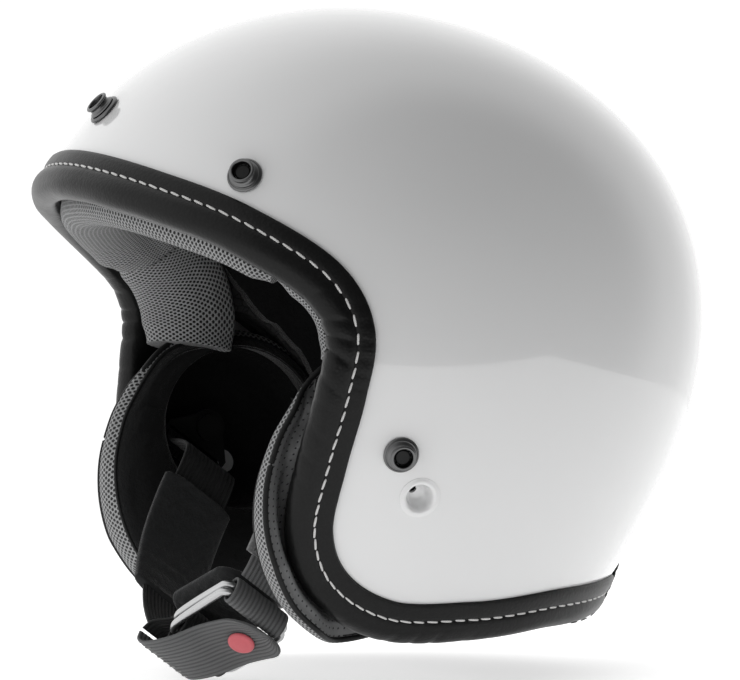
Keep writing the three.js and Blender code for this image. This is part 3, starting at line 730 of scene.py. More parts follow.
def makeTrim():
    t = trim
    loop = Track(smoothPath(t["section"], closed=True, steps=16), closed=True)

    def place(u, v):
        spot = loop.at(v)
        way = loop.heading(v, 4e-3)
        out = np.stack([-way[:, 1], way[:, 0]], axis=-1)
        along = t["butt"] + (1 - 2 * t["butt"]) * u
        lift = trimFolds(along, spot[:, 0], spot[:, 1]) * trimSide
        inset, offset = spot[:, 0] + out[:, 0] * lift, spot[:, 1] + out[:, 1] * lift
        cloth = np.stack([along * rim.length, v * loop.length], axis=-1)
        return rimPoint(along, inset, offset), cloth

    # which way the section's normal points out
    area = np.sum(loop.line[:-1, 0] * loop.line[1:, 1] - loop.line[1:, 0] * loop.line[:-1, 1])
    trimSide = -1 if area > 0 else 1
    piece = gridPiece(t["columns"], t["rows"], place)
    finishPiece(piece, "edge_trim_leather", "trimLeather", "helmet", ["edge_trim"])

    count = int(round(rim.length / t["stitchPitch"]))
    places = []
    for i in range(count):
        u = (i + 0.5) / count
        p = rimPoint(np.array([u]), t["stitchInset"], 2.05)[0]
        q = rimPoint(np.array([u + 0.001]), t["stitchInset"], 2.05)[0]
        places.append((p, q - p, shellNormal(p), t["stitchLength"] * (0.97 + 0.05 * math.sin(i * 2.3))))
    stitch = {"width": 0.95, "height": 0.8, "lean": 5}
    stitchRow("edge_trim_stitching", places, stitch, "whiteThread", "helmet")


makeTrim()
print("edge trim made")

# ---- visor snaps: one base and one stud, copied to the five places ----
snap = {
    "places": {
        "centre": (0, -96.5, 75.9), "front_left": (82.2, -72.7, 52.6), "front_right": (-82.2, -72.7, 52.6),
        "side_left": (108.3, -22.9, -47.3), "side_right": (-108.3, -22.9, -47.3),
    },
    "base": [
        (2.6, 0.25), (6.35, 0.25), (6.55, 0.45), (6.5, 0.8), (6.2, 1.15), (5.9, 1.3), (5.75, 1.2),
        (5.6, 1.35), (5.1, 1.45),
        (4.6, 1.5), (2.6, 1.5), (2.6, 0.25),
    ],
    "stud": [
        (2.6, 1.7), (5.25, 1.7), (5.35, 1.85), (5.2, 2.05), (4.75, 2.3), (4.35, 2.6), (4.12, 3.0),
        (4.1, 3.5), (4.3, 3.9),
        (4.65, 4.25), (4.74, 4.55), (4.66, 4.85), (4.4, 5.05), (4.05, 5.15), (3.75, 5.1), (3.55, 4.9),
        (3.45, 4.5), (3.4, 3.4),
        (3.3, 2.85), (3.1, 2.65), (2.6, 2.6), (2.6, 1.7),
    ],
}


def makeSnaps():
    base = turnedPiece(snap["base"], 56, 28)
    stud = turnedPiece(snap["stud"], 56, 28)
    for name, place in snap["places"].items():
        at = onShellAt(place)
        finishPiece(copyOf(base, at), f"snap_flange_{name}", "gunmetal", "helmet", [f"snap_base_{name}"])
        finishPiece(copyOf(stud, at), f"snap_post_{name}", "gunmetal", "helmet", [f"snap_stud_{name}"])
    discard(base)
    discard(stud)


makeSnaps()
print("snaps made")

# ---- cheek bays, worked out in side view round the ear ----
cheek = {
    "ear": (-13.0, -47.0), "pocket": 31.0, "faceX": 76.0, "taper": 0.2, "bulgeX": 88.0,
    "lipDepth": 10.2, "padDepth": 23.3,
    "front": [(88, 9), (93, 13), (99, 15), (106, 16), (114, 17), (122, 17), (130, 12)],
    "back": [(32, -92), (33, -66), (18, -36), (-6, -14), (-40, -14)],
    "columns": 260, "rowsPerSpan": 7, "crown": 3.6,
    "pipingRadius": 1.05, "edgePipingRadius": 0.75,
}


def sideX(y, z):
    low, high = np.zeros(np.shape(y)), np.full(np.shape(y), 2 * shellDims["halfWidth"])
    for _ in range(30):
        middle = (low + high) / 2
        inside = aboveShell(np.stack([middle, y, z], axis=-1)) < 0
        low, high = np.where(inside, middle, low), np.where(inside, high, middle)
    return low


def faceX(z, rise=0.0):
    return cheek["faceX"] + cheek["taper"] * (z - cheek["ear"][1]) + rise


def depthX(y, z, depth, room):
    # an x so deep under the shell's outer face, but never nearer than some room to the pad's inner face
    x = sideX(y, z)
    slope = shellNormal(np.stack([x, y, z], axis=-1))[..., 0]
    return np.maximum(x - depth / slope, faceX(z, room))


frontTurns, frontReach = np.array(cheek["front"], float).T
cheekFront = rimPoint(np.array([rimAt(turn) for turn in frontTurns]), -frontReach, 0.0)[:, 1:]
cheekLine = smoothPath(np.concatenate([cheekFront, np.array(cheek["back"], float)]), closed=True)
frontShare = (len(cheekFront) - 1) / (len(cheekFront) + len(cheek["back"]))


def bayEdge(u):
    # the bay's outline in side view, by the share of its corners passed
    at = (np.asarray(u) % 1) * (len(cheekLine) - 1)
    return np.stack([np.interp(at, np.arange(len(cheekLine)), cheekLine[:, i]) for i in (0, 1)], axis=-1)


def overRim(u):
    u = np.asarray(u) % 1
    return np.where(u <= frontShare, 1.0, 1 - stepUp(u, frontShare, frontShare + 0.06) + stepUp(u, 0.94, 1))


def inBay(y, z, grow=0.0):
    # whether a place in side view lies inside the bay
    ear = np.array(cheek["ear"])
    out = cheekLine - ear
    angles, far = np.arctan2(out[:, 1], out[:, 0]), np.linalg.norm(out, axis=1)
    order = np.argsort(angles)
    here = np.arctan2(z - ear[1], y - ear[0])
    reach = np.interp(here, angles[order], far[order], period=2 * math.pi)
    return np.hypot(y - ear[0], z - ear[1]) < reach + grow


def curveThrough(corners, rows):
    # a smooth curve through the corners of every column at once: corners is (count, columns, 3)
    ring = np.concatenate([2 * corners[:1] - corners[1:2], corners, 2 * corners[-1:] - corners[-2:-1]])
    spans = len(corners) - 1
    at = np.linspace(0, spans, rows * spans + 1)
    out = []
    for value in at:
        k = min(int(value), spans - 1)
        t = value - k
        a, b, c, d = ring[k], ring[k + 1], ring[k + 2], ring[k + 3]
        leave, arrive = (c - a) * 0.5, (d - b) * 0.5
        out.append(b + leave * t + (3 * (c - b) - 2 * leave - arrive) * t * t + (2 * (b - c) + leave + arrive) * t**3)
    return np.stack(out)


def cheekCorners(u):
    # the pad's section at each place round its outline, from under the trim over the edge to the ear pocket
    c = cheek
    ear = np.array(c["ear"])
    out = bayEdge(u) - ear
    far = np.maximum(np.linalg.norm(out, axis=-1), c["pocket"] + 6)
    way = unit(out)
    r = overRim(u)

    def corner(inset, x):
        yz = ear + way * np.maximum(far - inset, c["pocket"])[:, None]
        return yz, x(yz[:, 0], yz[:, 1])

    def lipX(y, z):
        return depthX(y, z, c["padDepth"] + (c["lipDepth"] - c["padDepth"]) * r, 2.5)

    def bulge(rise):
        # past the trim's front edge the pad swells out to its outer edge
        def x(y, z):
            swell = r * stepUp(-y, 28, 46)
            edge = c["bulgeX"] + rise - 0.3 * np.maximum(0, -88 - z)
            return lipX(y, z) * (1 - swell) + edge * swell
        return x

    def between(share, rise=0.0):
        def x(y, z):
            return bulge(0.0)(y, z) * (1 - share) + faceX(z, 1.8) * share + rise
        return x

    zero = np.zeros_like(far)
    rise = c["crown"] * stepUp(far, c["pocket"] + 8, c["pocket"] + 30)
    inner = far - c["pocket"] - 4.6
    spots = [
        corner(zero + 1.6 + 26.9 * r, lambda y, z: depthX(y, z, c["padDepth"], 3.2)),
        corner(zero + 1.2 + 27 * r, lipX),
        corner(zero + 1.1 + 18 * r, lipX),
        corner(zero + 0.9 + 9.6 * r, lipX),
        corner(zero + 0.8 + 6.2 * r, bulge(-3.6)),
        corner(zero + 0.6 + 3.0 * r, bulge(-1.0)),
        corner(zero + 0.4 + 0.3 * r, bulge(0.0)),
        corner(zero - 0.5, between(0.3, 0.3)),
        corner(zero - 0.1, between(0.66, 0.4)),
        corner(zero + 2.3, between(1.0)),
        corner(zero + 4.6, lambda y, z: faceX(z, -0.9)),
        corner(4.6 + inner * 0.16, lambda y, z: faceX(z, -0.9) - rise * 0.55),
        corner(4.6 + inner * 0.40, lambda y, z: faceX(z, -0.6) - rise),
        corner(4.6 + inner * 0.68, lambda y, z: faceX(z) - rise * 0.9),
        corner(4.6 + inner * 0.90, lambda y, z: faceX(z) - rise * 0.35),
        corner(inner + 4.5, lambda y, z: faceX(z, 1.4)),
        corner(inner + 4.8, lambda y, z: faceX(z, 2.6)),
        corner(inner + 4.6, lambda y, z: depthX(y, z, c["padDepth"], 3.1)),
    ]
    return np.stack([np.concatenate([x[:, None], yz], axis=1) for yz, x in spots])


leatherEnd, meshEnd, faceEnd = 6, 9, 14  # corners where the leather band, the mesh band and the fleece face stop


def makeCheekPad():
    c = cheek
    u = np.linspace(0, 1, c["columns"] + 1)
    grid = curveThrough(cheekCorners(u), c["rowsPerSpan"])
    rows = len(grid) - 1
    steps = np.linalg.norm(np.diff(grid, axis=0), axis=2)
    run = np.concatenate([np.zeros((1, grid.shape[1])), np.cumsum(steps, axis=0)])
    run -= run[leatherEnd * c["rowsPerSpan"]]
    roundRun = np.concatenate([[0], np.cumsum(np.linalg.norm(np.diff(bayEdge(u), axis=0), axis=1))])
    # sewn channels in the fleece face
    level = np.arange(rows + 1)[:, None] / c["rowsPerSpan"]
    onFace = stepUp(level, meshEnd + 1.2, meshEnd + 2.2) * (1 - stepUp(level, faceEnd - 0.4, faceEnd + 0.6))
    soft = 0.5 * np.sin(u * 19)[None, :] * onFace + 0.25 * np.sin(u * 47 + level * 1.7) * onFace
    grid[..., 0] -= soft

    def place(a, b):
        i = np.clip(np.round(a * c["columns"]).astype(int), 0, c["columns"])
        j = np.clip(np.round(b * (rows + 1)).astype(int), 0, rows + 1)
        wrapped = j % (rows + 1)  # the last row closes the section on its first one
        return grid[wrapped, i], np.stack([roundRun[i], run[wrapped, i]], axis=-1)

    pad = gridPiece(c["columns"], rows + 1, place, fillEnds=False, angle=60)
    return pad, grid


def tubePiece(line, radius, sides=12, closed=True, steps=None):
    # round piping along a closed line
    track = Track(line, closed)
    steps = steps or int(track.length / 1.4)

    def place(a, b):
        p, t = track.at(a), track.heading(a, 2e-3)
        side = unit(np.cross(t, np.array([0.0, 0.3, 1.0])))
        up = np.cross(side, t)
        turn = b * 2 * math.pi
        point = p + side * (radius * np.cos(turn))[:, None] + up * (radius * np.sin(turn))[:, None]
        return point, np.stack([a * track.length, b * 2 * math.pi * radius], axis=-1)

    return gridPiece(steps, sides, place, fillEnds=not closed, angle=60)


def makeCheekPads():
    c = cheek
    pad, grid = makeCheekPad()
    # bands by the cloth coordinate and by depth from the face
    names = ["cheekLeather", "greyMesh", "blackFleece"]
    for name in names:
        pad.data.materials.append(finishes[name])
    per = c["rowsPerSpan"]
    lookup = {}
    for j in range(grid.shape[0]):
        for i in range(grid.shape[1]):
            lookup[tuple(np.round(grid[j, i] * 20).astype(int))] = j
    co = coordsOf(pad) / mm
    rowOf = np.array([lookup.get(tuple(np.round(p * 20).astype(int)), -1) for p in co])
    for face in pad.data.polygons:
        rows = [rowOf[v] for v in face.vertices if rowOf[v] >= 0]
        low, high = (min(rows), max(rows)) if rows else (0, 0)
        if high - low > per:
            face.material_index = 2
            continue
        middle = sum(rows) / max(len(rows), 1) / per
        face.material_index = 0 if middle < leatherEnd else 1 if middle < meshEnd else 2
    left = finishPiece(pad, "cheek_pad_cover_left", None, "helmet", ["cheek_pad_left"])
    pipes = []
    for corner, radius, name in ((leatherEnd, c["pipingRadius"], "outer"), (meshEnd, c["edgePipingRadius"], "inner")):
        tube = tubePiece(grid[corner * per], radius)
        pipes.append((tube, name))
    right = flipped(left)
    finishPiece(right, "cheek_pad_cover_right", None, "helmet", ["cheek_pad_right"])
    right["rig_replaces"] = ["cheek_pad_right"]
    for tube, name in pipes:
        other = flipped(tube)
        finishPiece(tube, f"cheek_piping_{name}_left", "pipingLeather", "helmet")
        finishPiece(other, f"cheek_piping_{name}_right", "pipingLeather", "helmet")


pocketLining = {"radius": 37.0, "depth": 8.6, "rise": 9.0}


def makePocketLining():
    # black cloth across the bottom of the ear pocket, dished over the shell's inside
    p = pocketLining
    ear = np.array(cheek["ear"])

    def place(a, b):
        turn, share = a * 2 * math.pi, np.clip(1 - np.abs(2 * b - 1), 0.002, 1)
        y = ear[0] + p["radius"] * share * np.cos(turn)
        z = ear[1] + p["radius"] * share * np.sin(turn)
        x = sideX(y, z) - p["depth"] - p["rise"] * stepUp(share, 0.7, 1.0)
        x += np.where(b > 0.5, 1.4, 0.0) * (1 - 0.6 * share) - 0.5 * np.sin(y * 0.22 + z * 0.1) * (1 - share)
        return np.stack([x, y, z], axis=1), np.stack([y, z], axis=1)

    left = gridPiece(96, 60, place, fillEnds=True, angle=60)
    right = flipped(left)
    finishPiece(left, "ear_pocket_lining_left", "blackFleece", "helmet")
    finishPiece(right, "ear_pocket_lining_right", "blackFleece", "helmet")


makeCheekPads()
makePocketLining()
print("cheek pads made")

# ---- foam liner and comfort pads ----
# where an edge pad tucks in behind the liner's edge
padBack = [(26, -38.6), (27, -35), (26, -32.4), (18, -32), (12.5, -31.4), (11.6, -26)]
lining = {
    "linerInset": 13, "linerOuter": -5.8, "linerInner": -30.0,
    "crownInset": 28, "crownOuter": -31.8, "crownInner": -38.0, "channels": 9, "puff": 2.0,
    "wrap": [
        (11.4, -8.8), (5, -8.7), (-1, -8.9), (-6.8, -10.6), (-10, -14), (-10.6, -19), (-9, -24),
        (-5.6, -29), (-1, -33),
        (5.2, -35.6), (9.6, -37.8), (15, -39), (21, -39.3), *padBack, (11.4, -16),
    ],
    "temple": [
        (11.4, -9.2), (6, -9), (0.5, -9.2), (-5, -11), (-8, -15.5), (-8.2, -21), (-6, -27), (-2, -32),
        (3.6, -35.8),
        (10, -38), (15, -39.2), (21, -39.4), *padBack, (11.4, -16),
    ],
    "neck": [
        (11.4, -13.8), (6, -13.6), (1.6, -13.9), (-1.8, -15.4), (-3.8, -18.8), (-4, -23), (-2.8, -28),
        (-0.2, -32.4), (3.6, -35.8),
        (9, -38.2), (15, -39.2), (21, -39.4), *padBack, (11.4, -18),
    ],
    "join": 0.0008, "turns": (58, 80.5, 136),
}


def bayShare(inset, depth, grow):
    # how far each column may run towards the rim before it would enter a cheek bay
    def share(u):
        edge = unit(rimPoint(u, inset, 0))
        full = np.arccos(np.clip(edge @ pole, -1, 1))
        across = unit(edge - (edge @ pole)[:, None] * pole)
        best = np.ones(len(u))
        clear = np.ones(len(u), bool)
        for s in np.linspace(0.3, 1, 141):
            way = pole * np.cos(full * s)[:, None] + across * np.sin(full * s)[:, None]
            p = onShell(way, depth)
            clear &= ~inBay(p[:, 1], p[:, 2], grow)
            best = np.where(clear, s, best)
            best = np.where(~clear, np.minimum(best, s), best)
        return best
    table = np.linspace(0, 1, 361)
    values = share(table[:-1])
    near = np.stack([np.roll(values, k) for k in range(-4, 5)])
    values = near.min(axis=0)
    values = np.stack([np.roll(values, k) for k in range(-3, 4)]).mean(axis=0)
    values = np.append(values, values[0])
    return lambda u: np.interp(u % 1, table, values)


def crownDepth(way, share):
    # fleece panels that swell between their seams
    turn = np.arctan2(way[:, 0], way @ poleUp)
    seam = np.abs(np.sin(turn * lining["channels"] / 2))
    swell = lining["puff"] * (seam**0.5) * stepUp(share, 0.1, 0.3) * (1 - stepUp(share, 0.93, 1.0))
    return lining["crownInner"] - swell + 1.0


def makeLining():
    n = lining
    liner = bowlPiece(n["linerInset"], n["linerOuter"], n["linerInner"], 240, 44, bayShare(n["linerInset"], -18, 1.2))
    finishPiece(liner, "bead_foam_liner", "linerFoam", "helmet", ["foam_liner"])
    crown = bowlPiece(n["crownInset"], n["crownOuter"], crownDepth, 300, 52, bayShare(n["crownInset"], -36, 2.4))
    finishPiece(crown, "crown_fleece_pad", "blackFleece", "helmet", ["crown_pad"])


def edgePadPiece(name, section, start, end, finish, slotName, replaced, columns, ends=0.012):
    loop = Track(smoothPath(section, closed=True, steps=12), closed=True)
    middle = np.array([13.0, -30.0])

    def place(u, v):
        along = start + (end - start) * u
        spot = loop.at(v)
        # the pad's ends close in a little, as sewn ends do
        fromStart, fromEnd = u * (end - start), (1 - u) * (end - start)
        shrink = 1 - 0.10 * (1 - stepUp(fromStart, 0, ends)) - 0.10 * (1 - stepUp(fromEnd, 0, ends))
        spot = middle + (spot - middle) * shrink[:, None]
        ripple = 0.22 * np.sin(along * 190 + v * 9) + 0.3 * np.sin(along * 83 + v * 4)
        cloth = np.stack([along * rim.length, v * loop.length], axis=-1)
        return rimPoint(along, spot[:, 0], spot[:, 1] + ripple * 0.5), cloth

    pad = gridPiece(columns, 56, place, angle=60)
    finishPiece(pad, name, finish, "helmet", replaced)
    return pad


def makeEdgePads():
    n = lining
    brow, temple, neck = (rimAt(turn) for turn in n["turns"])
    gap = n["join"]
    mesh = ("greyMesh", "grey_mesh")
    edgePadPiece("brow_mesh_pad", n["wrap"], brow + gap, 1 - brow - gap, *mesh, ["brow_pad"], 220)
    edgePadPiece("temple_mesh_pad_left", n["temple"], temple, brow - gap, *mesh, ["temple_pad_left"], 70)
    edgePadPiece("temple_mesh_pad_right", n["temple"], 1 - brow + gap, 1 - temple, *mesh, ["temple_pad_right"], 70)
    edgePadPiece("neck_roll_cover", n["neck"], -neck, neck, "liningLeather", "lining_leather", ["neck_roll"], 200)


makeLining()
makeEdgePads()
print("lining made")

# ---- chin strap: webbing, rings, covers and pad, in the strap's own leaning frame ----
strap = {
    "axis": (0.0, -23.0, -47.0), "lean": (0.8, 0.6), "shift": 8.5, "width": 24.5, "thickness": 1.6,
    "ribPitch": 1.75, "ribDepth": 0.16,
    "bar": (51.0, 67.0), "ringEnd": (23.5, 85.8), "ringHalf": 14.4, "wire": 1.5, "spread": (1.8, 2.7),
    "hangerLoop": [
        (91.2, 16.5, 0), (91.1, 12.2, 0), (88.5, 9.4, 0), (85.8, 12.2, 0), (81, 13.6, 0), (68, 13.6, 0),
        (60, 15.4, 0),
    ],
    "left": [(56, 22, 0.5), (54.4, 34, 2.6), (53.4, 46, 5.4), (52.8, 56, 7.6), (51.4, 60.6, 8.5)],
    "right": [(-56, 22, 0.5), (-52, 36, 1.6), (-44, 54, 3.6), (-29, 71, 5.6), (-12, 83.2, 7.4)],
    # past the rings' ends: how far beyond them, how far outward, and the shift
    "threaded": [
        (16, -7.4, 8.5), (3, -7.9, 8.5), (-4, -7.2, 8.5), (-7.2, -3.4, 8.5), (-7, 2, 8.5), (-4.4, 5.6, 8.5),
        (-0.4, 6.5, 8.5), (2.8, 5, 8.5), (3, 1.9, 8.5), (0.8, 0.15, 8.5), (-2, -0.25, 8.5), (-3.8, -2.6, 8.5),
        (-2.6, -4.8, 8.5), (0.6, -5.5, 8.5), (3, -5.5, 8), (6.6, -5.2, 6.2), (11, -4.3, 3.4), (14, -1.7, 2.6),
    ],
    "tail": [
        (14.8, -0.3, 2.4), (14.6, 3, 2.4), (11, 6.8, 2.6), (4.6, 8.9, 4), (-4, 9, 6.6), (-14, 7, 9.8),
        (-24, 7, 13),
        (-35, 8.8, 16.4),
    ],
    "chinPad": [(-31, -11.6, 7), (-14, -12, 6.4), (6, -12.2, 5.6)],
    "snap": (-23, 7, 12.6),
    # sleeves and pad: width, thickness, and the shares of the strap between which they lie
    "vinyl": (30, 3.7, 0.6, 0.9), "fleece": (32, 5.0, 0.235, 0.49), "padWidth": 30, "padThickness": 5.0,
    # stitches: shares of the strap, distances across it, lift, length and pitch
    "vinylStitches": (0.605, 0.895, (-12.6, 12.6), 1.86, 2.6, 3.6),
    "barTack": (0.14, 0.19, (-9, -6, -3, 0, 3, 6, 9), 0.86, 2.4, 1.2),
    "tipRadius": 10.5, "loopRadii": (3.35, 5.35), "loopThickness": 1.4,
}
ringRun = np.array(strap["ringEnd"]) - np.array(strap["bar"])
ringLength = float(np.linalg.norm(ringRun))
along = ringRun / ringLength
outward = np.array([along[1], -along[0]])  # from the chin side of the rings to the outer side


def byRings(beyond, out, shift):
    x, drop = np.array(strap["ringEnd"]) + along * beyond + outward * out
    return x, drop, shift


def strapSpace(local):
    # from the strap's own frame (x, shift rearwards, drop down) to the helmet's
    local = np.asarray(local, float)
    c, s = strap["lean"]
    x, drop, shift = local[..., 0], local[..., 1], local[..., 2]
    y = c * shift - s * drop
    z = -s * shift - c * drop
    return np.stack([x, y, z], axis=-1) + np.array(strap["axis"])


otherHanger = [(-x, drop, shift) for x, drop, shift in strap["hangerLoop"]]
threaded = [byRings(*p) for p in strap["threaded"]]
paths = {
    "left": Track(smoothPath(strap["hangerLoop"] + strap["left"])),
    "right": Track(smoothPath(otherHanger + strap["right"] + threaded)),
    "tail": Track(smoothPath([byRings(*p) for p in strap["tail"]])),
    "chinPad": Track(smoothPath([byRings(*p) for p in strap["chinPad"]])),
}


def bandAt(track, at, across, rise):
    # a place on a band: across its width, and raised from its middle
    p, t = track.at(at), track.heading(at, 2e-3)
    level = np.hypot(t[..., 0], t[..., 1])
    out = p.copy()
    out[..., 0] += t[..., 1] / level * rise
    out[..., 1] += -t[..., 0] / level * rise
    out[..., 2] += across
    return out


def bandPiece(track, width, thickness, start=0.0, end=1.0, sides=96, power=5.0, ribs=0.0, lumps=0.0, roundEnds=(0, 0)):
    # a flat band with rounded edges, lengthwise ribs or soft lumps, and ends rounded over a length if asked
    length = track.length * (end - start)
    steps = int(length / 0.8)

    def place(a, b):
        s = a * length
        fromStart, fromEnd = roundEnds
        w = np.ones_like(a)
        if fromStart:
            w = w * np.sqrt(np.clip(1 - (1 - np.clip(s / fromStart, 0, 1)) ** 2, 0.0004, 1))
        if fromEnd:
            w = w * np.sqrt(np.clip(1 - (1 - np.clip((length - s) / fromEnd, 0, 1)) ** 2, 0.0004, 1))
        turn = 2 * math.pi * b
        c, sn = np.cos(turn), np.sin(turn)
        x = np.sign(c) * np.abs(c) ** (2 / power)
        y = np.sign(sn) * np.abs(sn) ** (2 / power)
        across = x * width / 2
        thin = thickness / 2
        if ribs:
            thin = thin - ribs * (0.5 + 0.5 * np.cos(2 * math.pi * across / strap["ribPitch"])) * np.abs(y)
        if lumps:
            thin = thin + lumps * (
                0.6 * np.sin(s * 0.9 + np.sin(across * 0.7) * 2) * np.sin(across * 0.75 + 0.6)
                + 0.4 * np.sin(s * 2.1 + across * 1.3) * np.sin(across * 1.9 - s * 0.8)
            ) * np.abs(y)
        thinEnd = np.clip(w * 1.6, 0, 1)
        local = bandAt(track, start + a * (end - start), across * w, y * thin * thinEnd)
        return strapSpace(local), np.stack([s, across], axis=-1)

    return gridPiece(steps, sides, place, fillEnds=True, angle=50)


stitchLook = {"width": 0.62, "height": 0.5, "lean": 0}


def bandStitches(name, track, start, end, offsets, lift, length, pitch, finish, body, slotName, face=1):
    # straight rows of stitches along a band, at these distances across it
    run = track.length * (end - start)
    count = int(run / pitch)
    places = []
    for offset in offsets:
        for k in range(count):
            at = start + (end - start) * (k + 0.5) / count
            near = np.array([at - 0.3 / track.length, at, at + 0.3 / track.length])
            ends = strapSpace(bandAt(track, near, offset, lift * face))
            below = strapSpace(bandAt(track, near[1:2], offset, 0.0)[0])
            places.append((ends[1], ends[2] - ends[0], ends[1] - below, length))
    return stitchRow(name, places, stitchLook, finish, body)


def makeStraps():
    s = strap
    w, t = s["width"], s["thickness"]
    left = bandPiece(paths["left"], w, t, ribs=s["ribDepth"], sides=120)
    finishPiece(left, "webbing_left", "webbing", "chin_strap", ["strap_left"])
    # the far strap gets a copy of the same webbing painted much darker, as painted shade
    right = bandPiece(paths["right"], w, t, ribs=s["ribDepth"], sides=120)
    finishPiece(right, "webbing_right", "farShadedWebbing", "chin_strap", ["strap_right"])
    tail = bandPiece(paths["tail"], w, t, ribs=s["ribDepth"], sides=120, roundEnds=(0, s["tipRadius"]))
    finishPiece(tail, "webbing_tail", "webbing", "strap_tail", ["strap_tail"])

    # the end loop round the rings' bars
    angles = np.linspace(0, 2 * math.pi, 60, endpoint=False)
    flatLoop = np.stack([np.cos(angles), np.sin(angles)], axis=1) * np.array(s["loopRadii"])
    tilt = math.atan2(outward[0], -outward[1])
    x = flatLoop[:, 0] * math.cos(tilt) + flatLoop[:, 1] * math.sin(tilt)
    up = -flatLoop[:, 0] * math.sin(tilt) + flatLoop[:, 1] * math.cos(tilt)
    ring = np.stack([s["bar"][0] + x, s["bar"][1] - up, np.full(len(x), s["shift"])], axis=1)
    loop = Track(smoothPath(ring, closed=True, steps=4), closed=True)
    end = bandPiece(loop, w, s["loopThickness"], ribs=s["ribDepth"] * 0.8, sides=96)
    finishPiece(end, "webbing_end_loop", "webbing", "chin_strap", ["strap_end_loop"])

    cover = bandPiece(paths["left"], *s["vinyl"], sides=64, power=4.2)
    finishPiece(cover, "vinyl_cover_left", "greyVinyl", "chin_strap", ["strap_cover_left"])
    for name, face in (("vinyl_cover_stitching", -1), ("vinyl_cover_seam", 1)):
        bandStitches(name, paths["left"], *s["vinylStitches"], "blackThread", "chin_strap", "grey_vinyl", face=face)
    fleece = bandPiece(paths["right"], *s["fleece"], sides=90, power=3.4, lumps=0.32, roundEnds=(2.4, 2.4))
    finishPiece(fleece, "fleece_cover_right", "strapFleece", "chin_strap", ["strap_cover_right"])
    size = (s["padWidth"], s["padThickness"])
    pad = bandPiece(paths["chinPad"], *size, sides=96, power=3.2, lumps=0.38, roundEnds=(7, 7))
    finishPiece(pad, "chin_pad_fleece", "strapFleece", "chin_strap", ["chin_pad"])

    # red bar tacks at the tail's fold
    bandStitches("tail_bar_tack", paths["tail"], *s["barTack"], "redThread", "strap_tail", "webbing", face=-1)


def makeRings():
    s = strap
    half, length = s["ringHalf"], ringLength
    side = [
        (0, 0), (0, 10), (0.5, 12.8), (2.2, half - 0.2), (5, half), (length - 7, half), (length - 2.4, half - 0.6),
        (length - 0.2, 12.2), (length, 9),
    ]
    outline = side + [(length, 0)] + [(a, -b) for a, b in side[:0:-1]]
    for name, sign in (("inner", -1), ("outer", 1)):
        points = []
        for down, across in outline:
            spread = s["spread"][0] + (s["spread"][1] - s["spread"][0]) * down / length
            x, drop, shift = byRings(down - length, sign * spread, s["shift"] + across)
            points.append(strapSpace((x, drop, shift)))
        tube = tubePiece(smoothPath(points, closed=True, steps=16), s["wire"], sides=28, steps=220)
        finishPiece(tube, f"ring_wire_{name}", "ringSteel", "chin_strap", [f"d_ring_{name}"])


def makeTailSnap():
    cap = turnedPiece([
        (0.001, 1.4), (4.7, 1.4), (5.0, 1.55), (5.05, 1.9), (4.9, 2.3), (4.5, 2.65), (3.8, 2.85),
        (3.3, 2.8), (2.6, 2.95),
        (1.4, 3.1), (0.001, 3.15),
    ], 64, 40)
    socket = turnedPiece([
        (0.001, -2.6), (1.9, -2.6), (2.2, -2.3), (2.6, -2.55), (3.4, -2.65), (4.0, -2.45), (4.35, -2.05),
        (4.4, -1.3), (0.001, -1.3),
    ], 48, 32)
    centre = strapSpace(byRings(*strap["snap"]))
    x, drop = outward
    direction = strapSpace((x, drop, 0)) - strapSpace((0, 0, 0))
    at = standing(centre, direction)
    cap.data.transform(at)
    socket.data.transform(at)
    finishPiece(cap, "red_snap_cap", "redPlastic", "strap_tail", ["tail_snap_cap"])
    finishPiece(socket, "tail_snap_ring", "brightSteel", "strap_tail", ["tail_snap_socket"])


makeStraps()
makeRings()
makeTailSnap()
print("chin strap made")

# ---- goggle strap tab at the nape ----
tab = {
    "width": 28.0,
    "hook": [(10, -10.2), (2, -10.4), (-6, -11.4), (-12.6, -10.6), (-15, -8.2)],
    "flap": [(-15.3, -6.4), (-14, -2.6), (-9.4, 2), (-3.4, 5.2), (5, 5.3), (12, 4), (20, 2.4), (34, 2), (50, 2)],
    "studInset": 42.0, "stitchLine": 11.8,
    "cap": [
        (0.001, 4.7), (5.7, 4.7), (6.15, 4.95), (6.2, 5.35), (5.95, 5.8), (5.3, 6.4), (4.5, 6.6),
        (3.9, 6.45), (3.2, 6.75),
        (1.8, 7.15), (0.001, 7.3),
    ],
}


def tabPlace(track, at, across, rise):
    # the tab's path is [inset, offset] at the nape, with its middle on the centre plane
    p, t = track.at(at), track.heading(at, 4e-3)
    inset = p[..., 0] - t[..., 1] * rise
    offset = p[..., 1] + t[..., 0] * rise
    base = rimPoint(np.zeros_like(inset), inset, 0.0)
    base[..., 0] = across
    return onShell(base, offset)


def tabPiece(points, thickness, roundEnd):
    track = Track(smoothPath([(a, b, 0.0) for a, b in points]))
    width = tab["width"]

    def place(a, b):
        turn = 2 * math.pi * b
        c, sn = np.cos(turn), np.sin(turn)
        x, y = np.sign(c) * np.abs(c) ** 0.4, np.sign(sn) * np.abs(sn) ** 0.4
        s = a * track.length
        w = np.ones_like(a)
        if roundEnd:
            w = np.sqrt(np.clip(1 - (1 - np.clip((track.length - s) / roundEnd, 0, 1)) ** 2, 0.0004, 1))
        across = x * width / 2
        padding = 0.35 * stepUp(width / 2 - np.abs(across), 1.6, 4.0) - 0.15
        point = tabPlace(track, a, across * w, y * (thickness / 2 + padding * np.abs(y)) * np.clip(w * 1.5, 0, 1))
        return point, np.stack([s, across], axis=-1)

    return gridPiece(int(track.length / 0.7), 72, place, angle=50), track


